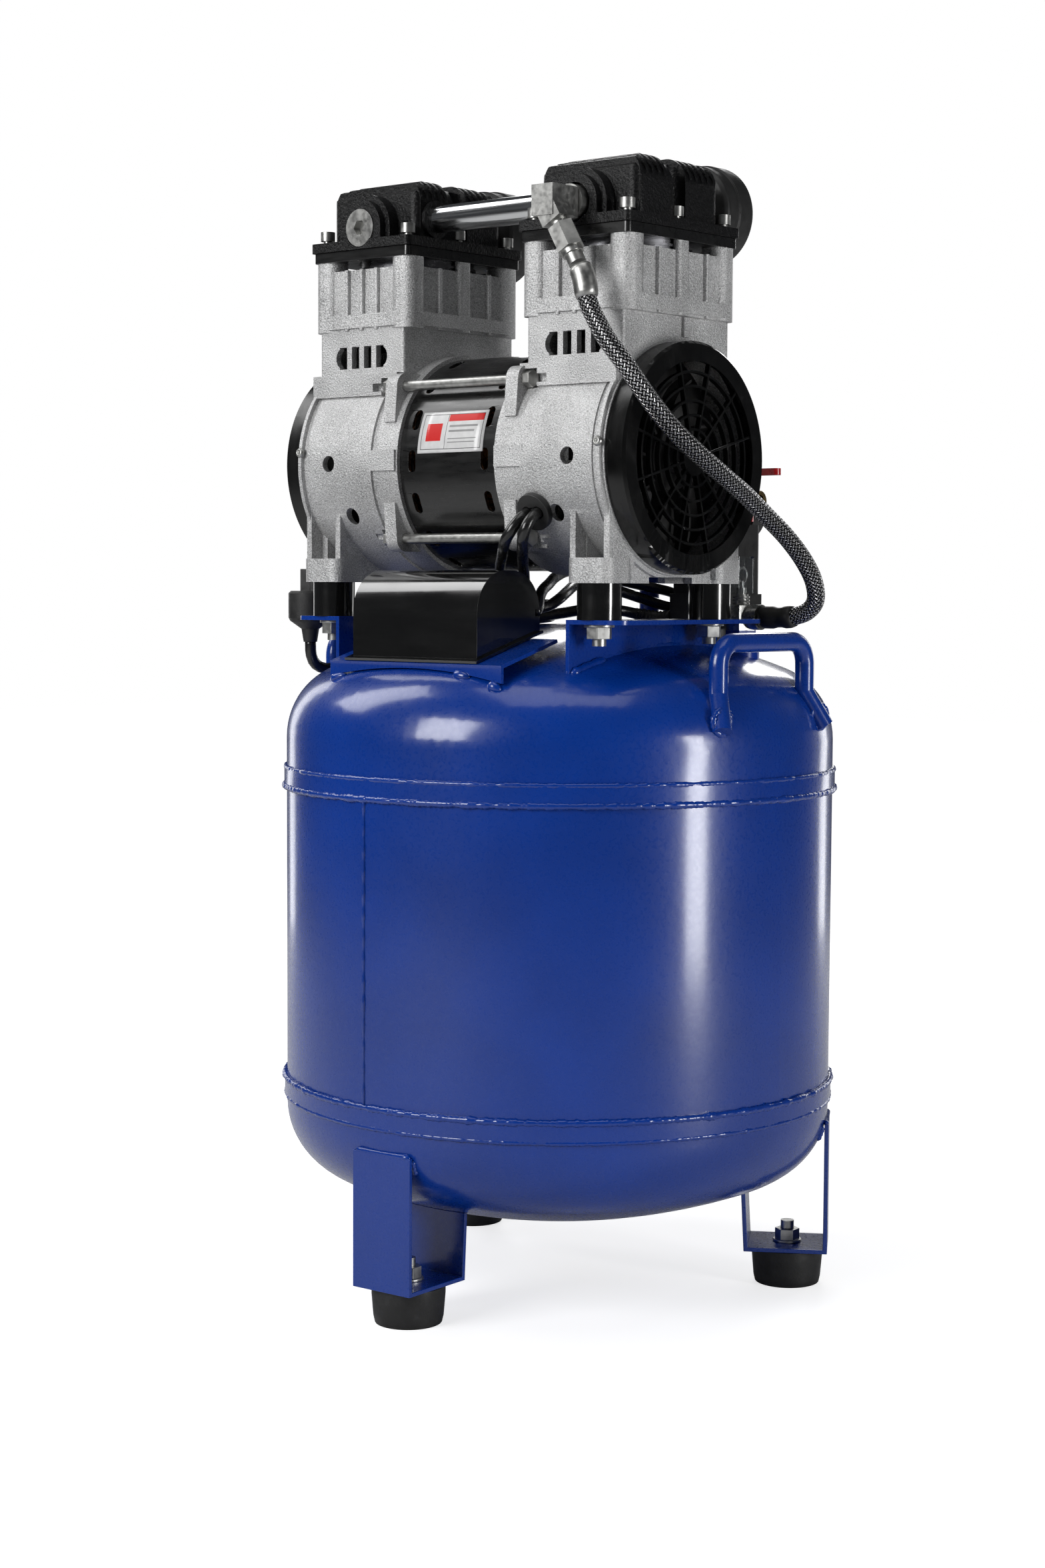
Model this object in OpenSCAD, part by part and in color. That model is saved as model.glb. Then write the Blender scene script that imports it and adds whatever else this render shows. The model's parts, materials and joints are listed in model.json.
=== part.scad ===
// Upright twin-cylinder oil-free air compressor.
// Millimetres, +Z up. The origin is on the tank's axis at floor level, the motor lies along X
// and the tank's longitudinal seam faces -Y.

/* [Tank] */
// Outer radius of the tank
tank_r = 165; // [163:0.5:167]
// Height of the upper girth seam above the floor
seam_top_z = 310.6; // [309:0.2:312]
// Height of the lower girth seam above the floor
seam_low_z = 117; // [115:1:120]
// Thickness of the tank's wall
tank_wall = 2.5; // [2:0.5:3]

/* [Legs] */
// Height of a rubber foot
foot_h = 22; // [18:1:23]
// Width of a leg's steel strip
leg_w = 42; // [36:1:46]
// Thickness of the steel strip of legs, brackets and tray
strip_t = 2.5; // [2:0.5:3]

/* [Pump] */
// Position of the motor's axis along Y
axis_y = -39; // [-40:0.5:-38]
// Height of the motor's axis
axis_z = 493; // [492.5:0.5:493.5]
// Distance of each cylinder from the middle of the motor
cyl_x = 82; // [81.5:0.5:82.5]
// Outer radius of the cast end shells
shell_r = 67; // [66.5:0.5:67.5]
// Throw of each crank, half of the stroke
throw = 5; // [3:0.5:5]

/* [Fan covers] */
// Radius of a fan cover
cover_r = 65; // [64.5:0.5:65.5]
// Number of spokes in a fan cover's grille
spokes = 12; // [8:1:16]

/* [Hidden] */
$fn = 64;

// Colours
BLUE = "#0b2f8f";
CAST = "#b9babb";
BLACK = "#17181a";
STEEL = "#c8cacc";
RUBBER = "#232325";
BRASS = "#b08d4a";
COPPER = "#b5683a";
RED = "#c01616";

// Torispherical tank head: crown, knuckle and the point where they meet
knuckle_r = 45;
crown_r = 370;
knuckle_x = tank_r - knuckle_r;
head_flange = 20;
crown_dz = head_flange - sqrt(pow(crown_r - knuckle_r, 2) - pow(knuckle_x, 2));
meet_k = crown_r / (crown_r - knuckle_r);
meet_x = knuckle_x * meet_k;
meet_z = crown_dz + (head_flange - crown_dz) * meet_k;
head_h = crown_dz + crown_r;
lap_h = 9;
lap_t = 1.5;
dome_top_z = seam_top_z + head_h;
low_flange = 7;
low_head_dz = head_flange - low_flange;

// Height of the top dome's outside at the point x, y of the crown
function dome_z(x, y) = seam_top_z + crown_dz + sqrt(pow(crown_r, 2) - x * x - y * y);

// Legs
leg_angles = [["front", 273], ["right", 33], ["rear", 153]];
leg_out_r = tank_r + 1;
leg_in_r = 116;
leg_top_z = 101;
foot_r = 141.5;
bolt_r = 4;

// Motor mounts
mount_x = 103;
mount_y = [-90, 12];
bracket_z = 402.6;
bracket_in_x = 88;
bracket_out_x = 126;
bracket_y0 = -101;
bracket_y1 = 37;
pad_z = 423;
isolator_r = 12.5;

// Pump stack
neck_hx = 34.5;
neck_hy = 49;
neck_top = 572.5;
block_hx = 39.5;
block_hy = 50;
block_foot_h = 9.5;
block_top = 614;
plate_t = 6;
base_t = 5.6;
head_z = block_top + plate_t + base_t;
stator_r = 63;
stator_hx = 37.5;
shell_wall = 4;
shell_x1 = 117.5;
cover_x1 = 130.6;
bore_r = 32;
piston_r = bore_r - throw - 0.4;
port_z = 632.6;
rod_y = 53;
rod_z = 44.5;
ear_x = 47;
crank_x = [74, 90];
shaft_r = 7.5;
pin_r = 12.8;
pin_gap = 0.05;
wire_r = 3.25;
cord_r = 3.5;
hose_r = 5.25;

// Fittings behind the pump
riser = [20, 62];
bar_z = 472;
bar_y = 62;
switch_at = [62, 74];
switch_z = 396;
knob_at = [72, 85];
tee = [97, 52];
port_axis_z = 403.4;
gauge_x = 56;
gauge_z = 467;
lever_x = 85;
lever_z = 487.5;

// Route of the hose from the elbow on the right head to the tee on the tank
hose_pts = [[103, -109, 594], [106, -109, 588], [109, -109, 575], [114, -108, 565],
    [121, -107, 554], [131, -103, 540], [140, -94, 522], [146, -81, 507], [150, -65, 495],
    [152, -45, 484], [152, -20, 472], [152, -2, 462], [154, 16, 450], [156, 30, 437.5],
    [156, 41, 425.5], [152.5, 49, 414.5], [144.5, 53, 407.5], [134, 54, 404.2],
    [123, 53, 403.4], [112, 52, 403.4]];
// Routes of the motor's and capacitor's leads
lead_a = [[61.2, -101, 462.8], [61.2, -107, 459.8], [60, -112, 455], [56, -113.5, 449],
    [50, -110, 443.5], [43, -103, 439], [34, -94, 435.5], [25, -84, 431], [17, -73, 424],
    [10, -63, 415], [4, -57, 406], [-1, -57, 399], [-3, -64, 396.5], [-3, -77, 396.5]];
lead_b = [[68.8, -101, 462.8], [68.8, -107, 459.8], [68, -111.5, 454.5], [65, -111, 448],
    [60, -105.5, 442], [53, -97, 437], [45, -87, 432], [37, -77, 426], [30.5, -69, 418],
    [26, -61, 411], [25.5, -52, 408.5], [27.5, -43, 410], [27, -33, 414], [22, -20, 418],
    [14, -2, 422], [12, 16, 422.5], [16, 34, 419], [24, 49, 414], [33, 61, 409.5], [42, 68, 407]];
lead_c = [[45, -77, 406], [42, -70, 409], [36, -62, 414.5], [30, -52, 419], [24.5, -40, 422.5],
    [18.5, -28, 426], [13, -14, 429], [8, 0, 430.5], [6, 14, 430], [9, 30, 427.5], [17, 43, 424],
    [27, 53, 421], [34, 63, 418.5], [38, 72, 415], [42, 80, 412]];
// Route of the power cord, first from the pressure switch to the coil, then from it to the plug
coil_at = [-40, -16];
coil_tilt = 6.7;
cord_a = [[42, 56, 401.5], [35, 56, 401.5], [28, 53.5, 402.5], [21.5, 48, 404.5], [16, 40, 406.5],
    [12, 30, 407.5], [9, 19, 407.8], [6.5, 8, 407.5], [4, -3, 406], [2, -14, 404.8]];
cord_b = [[-82, -14, 394.5], [-82, 2, 394], [-82, 16, 393.5], [-82, 30, 392.5], [-83, 42, 391],
    [-86, 53, 388.5], [-91.5, 62, 385.5], [-100, 69, 382], [-111, 71.5, 378.5], [-122, 68.5, 375.5],
    [-131, 60, 373], [-136, 47, 373.5], [-137, 32, 375], [-135, 15, 377.5], [-133, -2, 378.5],
    [-132.5, -17, 378], [-134, -30, 376.5], [-137, -41, 373.5], [-140.5, -51, 370],
    [-143, -60, 369.5], [-144, -66.5, 373.5], [-143.8, -69.5, 380], [-143.5, -70, 388]];
plug_at = [-143.5, -70];
plug_z = 386;

// ---------- shared shapes ----------

// Flat shape with four round corners
module rounded(w, h, r) {
    square([w - 2 * r, h], center = true);
    square([w, h - 2 * r], center = true);
    for (i = [-1, 1], j = [-1, 1])
        translate([i * (w / 2 - r), j * (h / 2 - r)]) circle(r);
}

// Upright block with round vertical edges, standing on z = 0
module block(w, d, h, r) {
    linear_extrude(h) rounded(w, d, r);
}

// Cylinder along +X from x = 0
module bar_x(r, l) {
    rotate([0, 90, 0]) cylinder(r = r, h = l);
}

// Cylinder along +Y from y = 0
module bar_y(r, l) {
    rotate([-90, 0, 0]) cylinder(r = r, h = l);
}

// Hexagonal prism on z = 0, measured across its flats
module hex(af, h) {
    cylinder(r = af / sqrt(3), h = h, $fn = 6);
}

// Places its children on the motor's axis
module on_axis() {
    translate([0, axis_y, axis_z]) children();
}

// Child on the right-hand side (s = 1) or mirrored to the left (s = -1)
module side(s) {
    mirror([s < 0 ? 1 : 0, 0, 0]) children();
}

// Half outline of a tank head, inset by t, with z = 0 at its seam
module head_profile(t) {
    r = crown_r - t;
    k = knuckle_r - t;
    u = r / (crown_r - knuckle_r);
    tx = knuckle_x * u;
    tz = crown_dz + (head_flange - crown_dz) * u;
    square([knuckle_x + k, head_flange]);
    polygon([[0, 0], [knuckle_x + 1, 0], [knuckle_x + 1, head_flange], [tx, tz], [0, tz]]);
    intersection() {
        translate([0, crown_dz]) circle(r, $fn = 360);
        translate([0, tz - 0.5]) square([tx, head_h]);
    }
    intersection() {
        translate([knuckle_x, head_flange]) circle(k);
        polygon([[knuckle_x, head_flange], [knuckle_x + 2 * k, head_flange],
            [knuckle_x + 2 * k, head_flange + 2 * k], [tx + (tx - knuckle_x), tz + (tz - head_flange)]]);
    }
}

// Solid of revolution of a whole tank head
module head_solid(t) {
    rotate_extrude($fn = 180) head_profile(t);
}

// The tank's outside, used to cut the parts welded to it
module tank_solid() {
    translate([0, 0, seam_top_z]) head_solid(0);
    translate([0, 0, seam_low_z]) cylinder(r = tank_r, h = seam_top_z - seam_low_z, $fn = 180);
    translate([0, 0, seam_low_z + low_head_dz]) mirror([0, 0, 1]) head_solid(0);
}

// Unit vector, cross product frames and rings of a swept tube
function unit(v) = v / norm(v);
function tangent(p, i) = unit(p[min(i + 1, len(p) - 1)] - p[max(i - 1, 0)]);
function side_of(t, u) = unit(u - (u * t) * t);
function frames(p, i, u) = i >= len(p) ? []
    : let (s = side_of(tangent(p, i), u)) concat([s], frames(p, i + 1, s));
function ring(c, t, s, r, n) = [for (k = [0:n - 1])
    c + r * (cos(k * 360 / n) * s + sin(k * 360 / n) * cross(t, s))];

// Tube of radius r swept along the points p with n sides
module tube(p, r, n = 10) {
    s = frames(p, 0, [0.3, 0.9, 0.2]);
    m = len(p);
    pts = [for (i = [0:m - 1]) each ring(p[i], tangent(p, i), s[i], r, n)];
    walls = [for (i = [0:m - 2], k = [0:n - 1])
        [i * n + k, i * n + (k + 1) % n, (i + 1) * n + (k + 1) % n, (i + 1) * n + k]];
    polyhedron(pts, concat(walls, [[for (k = [n - 1:-1:0]) k], [for (k = [0:n - 1]) (m - 1) * n + k]]));
}

// ---------- tank ----------

module tank_barrel() {
    color(BLUE) translate([0, 0, seam_low_z]) difference() {
        cylinder(r = tank_r, h = seam_top_z - seam_low_z, $fn = 180);
        translate([0, 0, -1]) cylinder(r = tank_r - tank_wall, h = seam_top_z, $fn = 180);
    }
}

// Pressed head with the skirt that laps over the barrel
module dome(h0) {
    rotate_extrude($fn = 180) {
        difference() {
            intersection() {
                head_profile(0);
                translate([0, h0]) square([tank_r, head_h]);
            }
            head_profile(tank_wall);
        }
        translate([tank_r, h0 - lap_h]) square([lap_t, lap_h + 2]);
        translate([tank_r - tank_wall, h0]) square([tank_wall + lap_t, 2]);
    }
}

module dome_top() {
    color(BLUE) translate([0, 0, seam_top_z]) dome(0);
}

module dome_bottom() {
    color(BLUE) translate([0, 0, seam_low_z + low_head_dz]) mirror([0, 0, 1]) dome(low_head_dz);
}

module at_leg(i) {
    rotate([0, 0, leg_angles[i][1]]) children();
}

// Bent strip: foot plate, outer wall and splayed inner wall, cut to the tank's lower head
module leg(i) {
    color(BLUE) difference() {
        at_leg(i) {
            difference() {
                translate([leg_in_r, -leg_w / 2, foot_h]) cube([leg_out_r - leg_in_r, leg_w, strip_t]);
                translate([foot_r, 0, foot_h - 1]) cylinder(r = bolt_r + 0.5, h = strip_t + 2);
            }
            translate([leg_out_r - strip_t, -leg_w / 2, foot_h])
                cube([strip_t, leg_w, leg_top_z - foot_h]);
            translate([0, leg_w / 2, 0]) rotate([90, 0, 0]) linear_extrude(leg_w)
                polygon([[leg_in_r, foot_h], [leg_in_r + strip_t, foot_h],
                    [leg_in_r - 3 + strip_t, 80], [leg_in_r - 3, 80]]);
        }
        tank_solid();
    }
}

// Rubber foot with a recess for the stud's head
module foot() {
    rotate_extrude() polygon([[9, 0], [19.3, 0], [20.2, 4], [21.3, 17], [21.3, foot_h],
        [bolt_r + 0.05, foot_h], [bolt_r + 0.05, 7], [9, 7]]);
}

module feet() {
    color(RUBBER) for (i = [0:2]) at_leg(i) translate([foot_r, 0, 0]) foot();
}

// Stud from z0 to z1; a head of height 4 closes its lower end where head is true
module stud(z0, z1, head) {
    translate([0, 0, z0]) cylinder(r = bolt_r, h = z1 - z0);
    if (head) translate([0, 0, z0]) cylinder(r = 8, h = 4);
}

// Flange nut on z = 0
module flange_nut() {
    difference() {
        union() {
            cylinder(r = 8.6, h = 1.6);
            hex(13, 8);
        }
        translate([0, 0, -1]) cylinder(r = bolt_r + 0.05, h = 10);
    }
}

module at_mounts() {
    for (sx = [-1, 1], y = mount_y) translate([sx * mount_x, y, 0]) children();
}

module m8_studs() {
    color(STEEL) {
        for (i = [0:2]) at_leg(i) translate([foot_r, 0, 0]) stud(3, foot_h + strip_t + 13, true);
        at_mounts() {
            stud(bracket_z - strip_t - 12, bracket_z + 5, false);
            stud(pad_z - 5, pad_z + 10, false);
        }
    }
}

module m8_nuts() {
    color(STEEL) {
        for (i = [0:2]) at_leg(i) translate([foot_r, 0, foot_h + strip_t]) flange_nut();
        at_mounts() translate([0, 0, bracket_z - strip_t]) mirror([0, 0, 1]) flange_nut();
    }
}

// Angle bracket welded to the top dome, with two holes for the rubber mounts
module bracket(s) {
    ym = (bracket_y0 + bracket_y1) / 2;
    w = bracket_out_x - bracket_in_x;
    l = bracket_y1 - bracket_y0;
    color(BLUE) side(s) difference() {
        union() {
            translate([0, 0, bracket_z - strip_t]) linear_extrude(strip_t) difference() {
                union() {
                    translate([bracket_in_x + w / 2, ym]) rounded(w, l, 9);
                    translate([bracket_in_x, bracket_y0]) square([w / 2, l]);
                }
                for (y = mount_y) translate([mount_x, y]) circle(bolt_r + 0.3);
            }
            translate([bracket_in_x, bracket_y0, dome_z(bracket_in_x, bracket_y0) - 8])
                cube([strip_t, l, bracket_z - dome_z(bracket_in_x, bracket_y0) + 8]);
        }
        tank_solid();
    }
}

// Rubber cylinders between the brackets and the pump, hollow at each stud
module isolators() {
    color(RUBBER) at_mounts() translate([0, 0, bracket_z]) difference() {
        cylinder(r = isolator_r, h = pad_z - bracket_z);
        translate([0, 0, -1]) cylinder(r = bolt_r + 0.05, h = 6);
        translate([0, 0, pad_z - bracket_z - 5]) cylinder(r = bolt_r + 0.05, h = 6);
    }
}

// Round-bar handle: top bar, two bends, two legs and two turned-out ends
module handle() {
    r = 5.5;
    half = 42;
    bend = 13;
    top = [150, 0, 390];
    low_z = 361;
    end = [159, 50, 341];
    difference() {
        union() {
            translate(top + [0, -half + bend, 0]) rotate([-90, 0, 0]) cylinder(r = r, h = 2 * (half - bend));
            for (j = [-1, 1]) mirror([0, j < 0 ? 1 : 0, 0]) {
                translate(top + [0, half - bend, -bend]) rotate([90, 0, 90])
                    rotate_extrude(angle = 90) translate([bend, 0]) circle(r);
                translate([top[0], half, low_z]) cylinder(r = r, h = top[2] - bend - low_z);
                translate([top[0], half, low_z]) sphere(r);
                d = end - [top[0], half, low_z];
                translate([top[0], half, low_z])
                    rotate([0, acos(d[2] / norm(d)), atan2(d[1], d[0])]) cylinder(r = r, h = norm(d));
            }
        }
        tank_solid();
    }
}

module handles() {
    color(BLUE) for (s = [-1, 1]) side(s) handle();
}

// ---------- capacitor on its tray ----------

tray_x = [-62.5, 69.5];
tray_y = [-134.6, -86];
tray_z = [377.4, 391.4];
tray_tilt = atan2(tray_z[1] - tray_z[0], tray_y[1] - tray_y[0]);
cap_half = 48;
cap_y = [-130, -76];

// Folded sheet that slopes with the dome, with a turned-down front edge arched over it
module capacitor_tray() {
    t = 2;
    l = tray_x[1] - tray_x[0];
    arch_r = 345;
    arch_z = tray_z[0] - 2.9;
    color(BLUE) {
        translate([tray_x[0], tray_y[0], tray_z[0]]) rotate([tray_tilt, 0, 0]) translate([0, 0, -t])
            cube([l, (tray_y[1] - tray_y[0]) / cos(tray_tilt), t]);
        translate([0, tray_y[0] + t + 0.5, 0]) rotate([90, 0, 0]) linear_extrude(t) difference() {
            translate([tray_x[0], tray_z[0] - 14]) square([l, 13]);
            translate([0, arch_z - arch_r]) circle(arch_r, $fn = 360);
        }
    }
}

// Outline of the cap's cross-section in Y and Z, inset by t: upright walls under an arch
module cap_outline(t) {
    w = cap_y[1] - cap_y[0] - 2 * t;
    r = 24 - t;
    translate([(cap_y[0] + cap_y[1]) / 2, 0]) hull() {
        for (s = [-1, 1]) translate([s * (w / 2 - r), 430 - t - r]) circle(r);
        translate([-w / 2, 377]) square([w, 1]);
    }
}

// Vacuum-formed cap over the motor's capacitor, open below
module capacitor_cover() {
    color(BLACK) difference() {
        union() {
            translate([-cap_half, 0, 0]) rotate([90, 0, 90]) linear_extrude(2 * cap_half) cap_outline(0);
            translate([0, tray_y[0] + 1, tray_z[0]]) rotate([tray_tilt, 0, 0])
                translate([-cap_half - 3, 0, 0]) cube([2 * cap_half + 6, 60, 2]);
        }
        translate([-cap_half + 2, 0, 0]) rotate([90, 0, 90]) linear_extrude(2 * cap_half - 4) cap_outline(2);
        translate([-cap_half - 10, tray_y[0], tray_z[0] - 60]) rotate([tray_tilt, 0, 0])
            translate([0, -40, 0]) cube([2 * cap_half + 20, 160, 58]);
        translate([-cap_half - 10, tray_y[0], tray_z[0]]) rotate([tray_tilt, 0, 0])
            translate([0, -20, -20]) cube([2 * cap_half + 20, 120, 20]);
        for (p = [[-3, 396.5], [45, 406]]) translate([p[0], cap_y[1] - 4, p[1]]) bar_y(wire_r + 0.3, 8);
    }
}

module capacitor() {
    color(STEEL) translate([-34, -103, 405]) bar_x(17, 56);
    color(BLACK) translate([22, -103, 405]) bar_x(16, 6);
}

// ---------- motor ----------

// Rolled band around the stator with a ring of vent slots near each end
module stator_band() {
    slot_w = 5.5;
    slot_l = 12.6;
    color(BLACK) on_axis() difference() {
        translate([-stator_hx, 0, 0]) bar_x(stator_r, 2 * stator_hx);
        translate([-stator_hx - 1, 0, 0]) bar_x(stator_r - 2, 2 * stator_hx + 2);
        for (x = [-28, 28], a = [0:22.5:337.5]) rotate([a, 0, 0]) translate([x, 0, stator_r - 6])
            linear_extrude(8) {
                square([slot_w, slot_l - slot_w], center = true);
                for (j = [-1, 1]) translate([0, j * (slot_l - slot_w) / 2]) circle(slot_w / 2);
            }
    }
}

module stator_core() {
    color("#6f7276") on_axis() difference() {
        translate([-20, 0, 0]) bar_x(stator_r - 2, 40);
        translate([-21, 0, 0]) bar_x(34.6, 42);
    }
}

// End turns of the stator's winding, one ring at each end of the core
module windings() {
    color(COPPER) on_axis() for (s = [-1, 1]) side(s) difference() {
        translate([20, 0, 0]) bar_x(55, 14);
        translate([19, 0, 0]) bar_x(36, 16);
    }
}

// Mounting feet of one shell: boss, web to the shell and cross wall below the fan
module shell_foot(y) {
    translate([mount_x, y, pad_z]) block(30, 26, 14, 7);
}

// Lug that carries a tie rod's end: a plate with a square shoulder that tapers back to the shell
module ear(sy, sz) {
    translate([ear_x - 5, sy * rod_y, sz * rod_z]) rotate([90, 0, 90]) linear_extrude(9) hull() {
        circle(7.5);
        translate([-sy * 22, sz * 7.5 - (sz > 0 ? 4 : 0)]) square([2, 4]);
        polygon([[sy * 9.4, -sz * 21], [sy * 2, -sz * 21], [sy * 2, -sz * 15]]);
    }
    translate([ear_x + 4, sy * (rod_y - 8) - 1.5, sz * rod_z - 6]) cube([10, 3, 12]);
}

// Cast end shell with the crankcase neck, right-hand version
module shell(gland) {
    difference() {
        union() {
            on_axis() {
                translate([stator_hx, 0, 0]) bar_x(shell_r - 1.5, 22);
                translate([stator_hx + 20, 0, 0]) bar_x(shell_r, shell_x1 - stator_hx - 20 - 8);
                translate([shell_x1 - 8, 0, 0]) bar_x(shell_r - 1, 8);
                translate([shell_x1 - 4, 0, 0]) bar_x(shell_r + 1.5, 2.5);
                for (sy = [-1, 1], sz = [-1, 1]) ear(sy, sz);
                for (sy = [-1, 1]) translate([stator_hx + 1, sy * (shell_r - 6) - 6, -5]) cube([21, 12, 12]);
            }
            translate([cyl_x, axis_y, axis_z]) linear_extrude(neck_top - axis_z)
                rounded(2 * neck_hx, 2 * neck_hy, 2);
            for (sy = [-1, 1]) translate([cyl_x - neck_hx, axis_y + sy * neck_hy - 6, axis_z + 40])
                cube([2 * neck_hx, 12, 13]);
            for (y = mount_y) {
                shell_foot(y);
                for (x = [mount_x - 14, mount_x + 10])
                    translate([x, y - 13 + (y < axis_y ? 4 : 0), pad_z + 2]) cube([4, 22, 50]);
            }
            translate([shell_x1 - 9, mount_y[0], pad_z]) cube([5, mount_y[1] - mount_y[0], 40]);
            translate([mount_x - 14, mount_y[0], pad_z]) cube([5, mount_y[1] - mount_y[0], 30]);
        }
        on_axis() {
            translate([stator_hx + 3, 0, 0]) bar_x(stator_r - 1.5, 12);
            translate([stator_hx - 1, 0, 0]) bar_x(stator_r - 6, 12);
            translate([stator_hx + 20, 0, 0]) bar_x(shell_r - shell_wall, shell_x1);
            translate([0, 0, 0]) bar_x(17.55, 80);
            for (a = [30:60:330]) rotate([a, 0, 0]) translate([stator_hx + 5, 0, 40]) bar_x(10, 40);
        }
        translate([cyl_x, axis_y, axis_z + 20]) linear_extrude(neck_top - axis_z - 24)
            square([2 * neck_hx - 8, 2 * neck_hy - 8], center = true);
        translate([cyl_x, axis_y, axis_z]) cylinder(r = 34.05, h = 100);
        for (x = [-15, -5, 5, 15]) translate([cyl_x + x - 3, axis_y - neck_hy - 2, 550]) cube([6, 8, 13]);
        for (sx = [-1, 1]) translate([cyl_x + sx * 14.5, axis_y - neck_hy - 2, 556.5]) rotate([-90, 0, 0])
            intersection() {
                cylinder(r = 6.5, h = 8);
                translate([sx < 0 ? -8 : 0, -8, 0]) cube([8, 16, 8]);
            }
        for (p = [[92, -67, 0], [79, -58, -31]]) translate([p[0], axis_y - 80, axis_z + p[2]]) bar_y(4.8, 40);
        if (gland) on_axis() rotate([gland_tilt, 0, 0]) translate([gland_x, -80, 0]) bar_y(9.05, 30);
        for (y = mount_y) translate([mount_x, y, pad_z - 1]) cylinder(r = bolt_r + 0.05, h = 12);
        for (sy = [-1, 1], sz = [-1, 1]) translate([ear_x, axis_y + sy * rod_y, axis_z + sz * rod_z]) {
            translate([-10, 0, 0]) bar_x(3.1, 30);
            translate([4, 0, 0]) bar_x(5.7, 9);
        }
        translate([mount_x - 20, axis_y - 20, 300]) cube([60, 40, 126.5]);
    }
    // tab under the cylinder block
    translate([cyl_x + neck_hx - 1, axis_y + 4, 561]) cube([3, 6, 11]);
}
gland_x = 65;
gland_tilt = 26;

module shell_right() {
    color(CAST) shell(true);
}

module shell_left() {
    color(CAST) side(-1) shell(false);
}

// Ball bearings of the shaft, pressed into the shells
module bearings() {
    color(STEEL) on_axis() for (s = [-1, 1]) side(s) difference() {
        translate([stator_hx + 7.5, 0, 0]) bar_x(17.5, 11);
        translate([stator_hx + 6.5, 0, 0]) bar_x(shaft_r + 0.05, 13);
    }
}

module tie_rods() {
    color(STEEL) on_axis() for (sy = [-1, 1], sz = [-1, 1]) translate([0, sy * rod_y, sz * rod_z]) {
        translate([-ear_x - 7, 0, 0]) bar_x(3, 2 * ear_x + 14);
        translate([ear_x + 4, 0, 0]) rotate([0, 90, 0]) hex(9, 5);
        translate([-ear_x - 9, 0, 0]) rotate([0, 90, 0]) hex(9, 5);
    }
}

// Black cover with a domed grille of rings and spokes
module cover() {
    t = 2;
    depth = cover_x1 - shell_x1;
    ring_r = [16, 24, 32, 40, 48];
    on_axis() translate([shell_x1, 0, 0]) {
        rotate([0, 90, 0]) rotate_extrude($fn = 128) polygon([[cover_r - t, 0], [cover_r, 0],
            [cover_r, depth - 1.5], [cover_r - 1.5, depth], [cover_r - 11, depth], [cover_r - 11, depth - t],
            [cover_r - t, depth - t]]);
        for (r = ring_r) translate([depth - 4, 0, 0]) difference() {
            bar_x(r + 0.7, 3);
            translate([-1, 0, 0]) bar_x(r - 0.7, 5);
        }
        for (k = [0:spokes - 1]) rotate([k * 360 / spokes + 15, 0, 0])
            translate([depth - 4, -0.7, 9]) cube([3, 1.4, cover_r - 19]);
        translate([depth - 4, 0, 0]) bar_x(10, 3.2);
    }
}

module cover_right() {
    color(BLACK) cover();
}

module cover_left() {
    color(BLACK) side(-1) cover();
}

// ---------- cylinders and heads ----------

// Ribbed shroud of one cylinder: solid lower flange, corner posts, mid posts and thin walls
module cylinder_block() {
    h = block_top - neck_top;
    open_h = 5.5;
    translate([cyl_x, axis_y, neck_top]) difference() {
        union() {
            translate([0, 0, 1.5]) block(2 * block_hx, 2 * block_hy, block_foot_h - 1.5, 7);
            block(2 * block_hx - 3, 2 * block_hy - 3, 2, 6);
            block(2 * block_hx - 5, 2 * block_hy - 5, h - open_h, 5);
            for (sx = [-1, 1], sy = [-1, 1])
                translate([sx * (block_hx - 8.5), sy * (block_hy - 8.5), 0]) block(17, 17, h, 7);
            for (sx = [-1, 1]) {
                translate([sx * (block_hx - 4), 0, 0]) block(8, 11, h, 3);
                for (y = [-22, 22]) translate([sx * (block_hx - 2), y, 0]) block(4, 3, h - open_h, 1);
            }
            for (sy = [-1, 1], x = [-12, 0, 12])
                translate([x, sy * (block_hy - 2), 0]) block(3, 4, h - open_h, 1);
        }
        translate([0, 0, -1]) cylinder(r = 34.05, h = h);
        translate([0, 0, 4]) cylinder(r = 36, h = h);
        for (sx = [-1, 1], sy = [-1, 1])
            translate([sx * 33, sy * 44, h - 20]) cylinder(r = 2.6, h = 30);
    }
}

module cylinder_right() {
    color(CAST) cylinder_block();
}

module cylinder_left() {
    color(CAST) side(-1) cylinder_block();
}

// Finned cylinder liner
module liners() {
    color("#3a3c3f") for (s = [-1, 1]) side(s) translate([cyl_x, axis_y, neck_top]) difference() {
        union() {
            translate([0, 0, -8]) cylinder(r = 34, h = block_top - neck_top + 8);
            for (z = [6:3.2:38]) translate([0, 0, z]) cylinder(r = 35.6, h = 1.4);
        }
        translate([0, 0, -10]) cylinder(r = bore_r, h = 80);
    }
}

module at_screws(ys = [-44, 0, 44]) {
    for (x = [-33, 33], y = ys) translate([x, y, 0]) children();
}

module valve_plates() {
    color(BLACK) for (s = [-1, 1]) side(s) translate([cyl_x, axis_y, block_top]) difference() {
        block(2 * block_hx - 1, 2 * block_hy + 1, plate_t, 3);
        at_screws() translate([0, 0, -1]) cylinder(r = 2.6, h = plate_t + 2);
        for (x = [-10, 10]) translate([x, 0, -1]) cylinder(r = 4, h = plate_t + 2);
    }
}

// Bar along Y with round shoulders, height h above z = 0
module shoulders(w, h) {
    translate([0, 60, 0]) rotate([90, 0, 0]) linear_extrude(120) rounded(w, 2 * h, 13);
}

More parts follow.
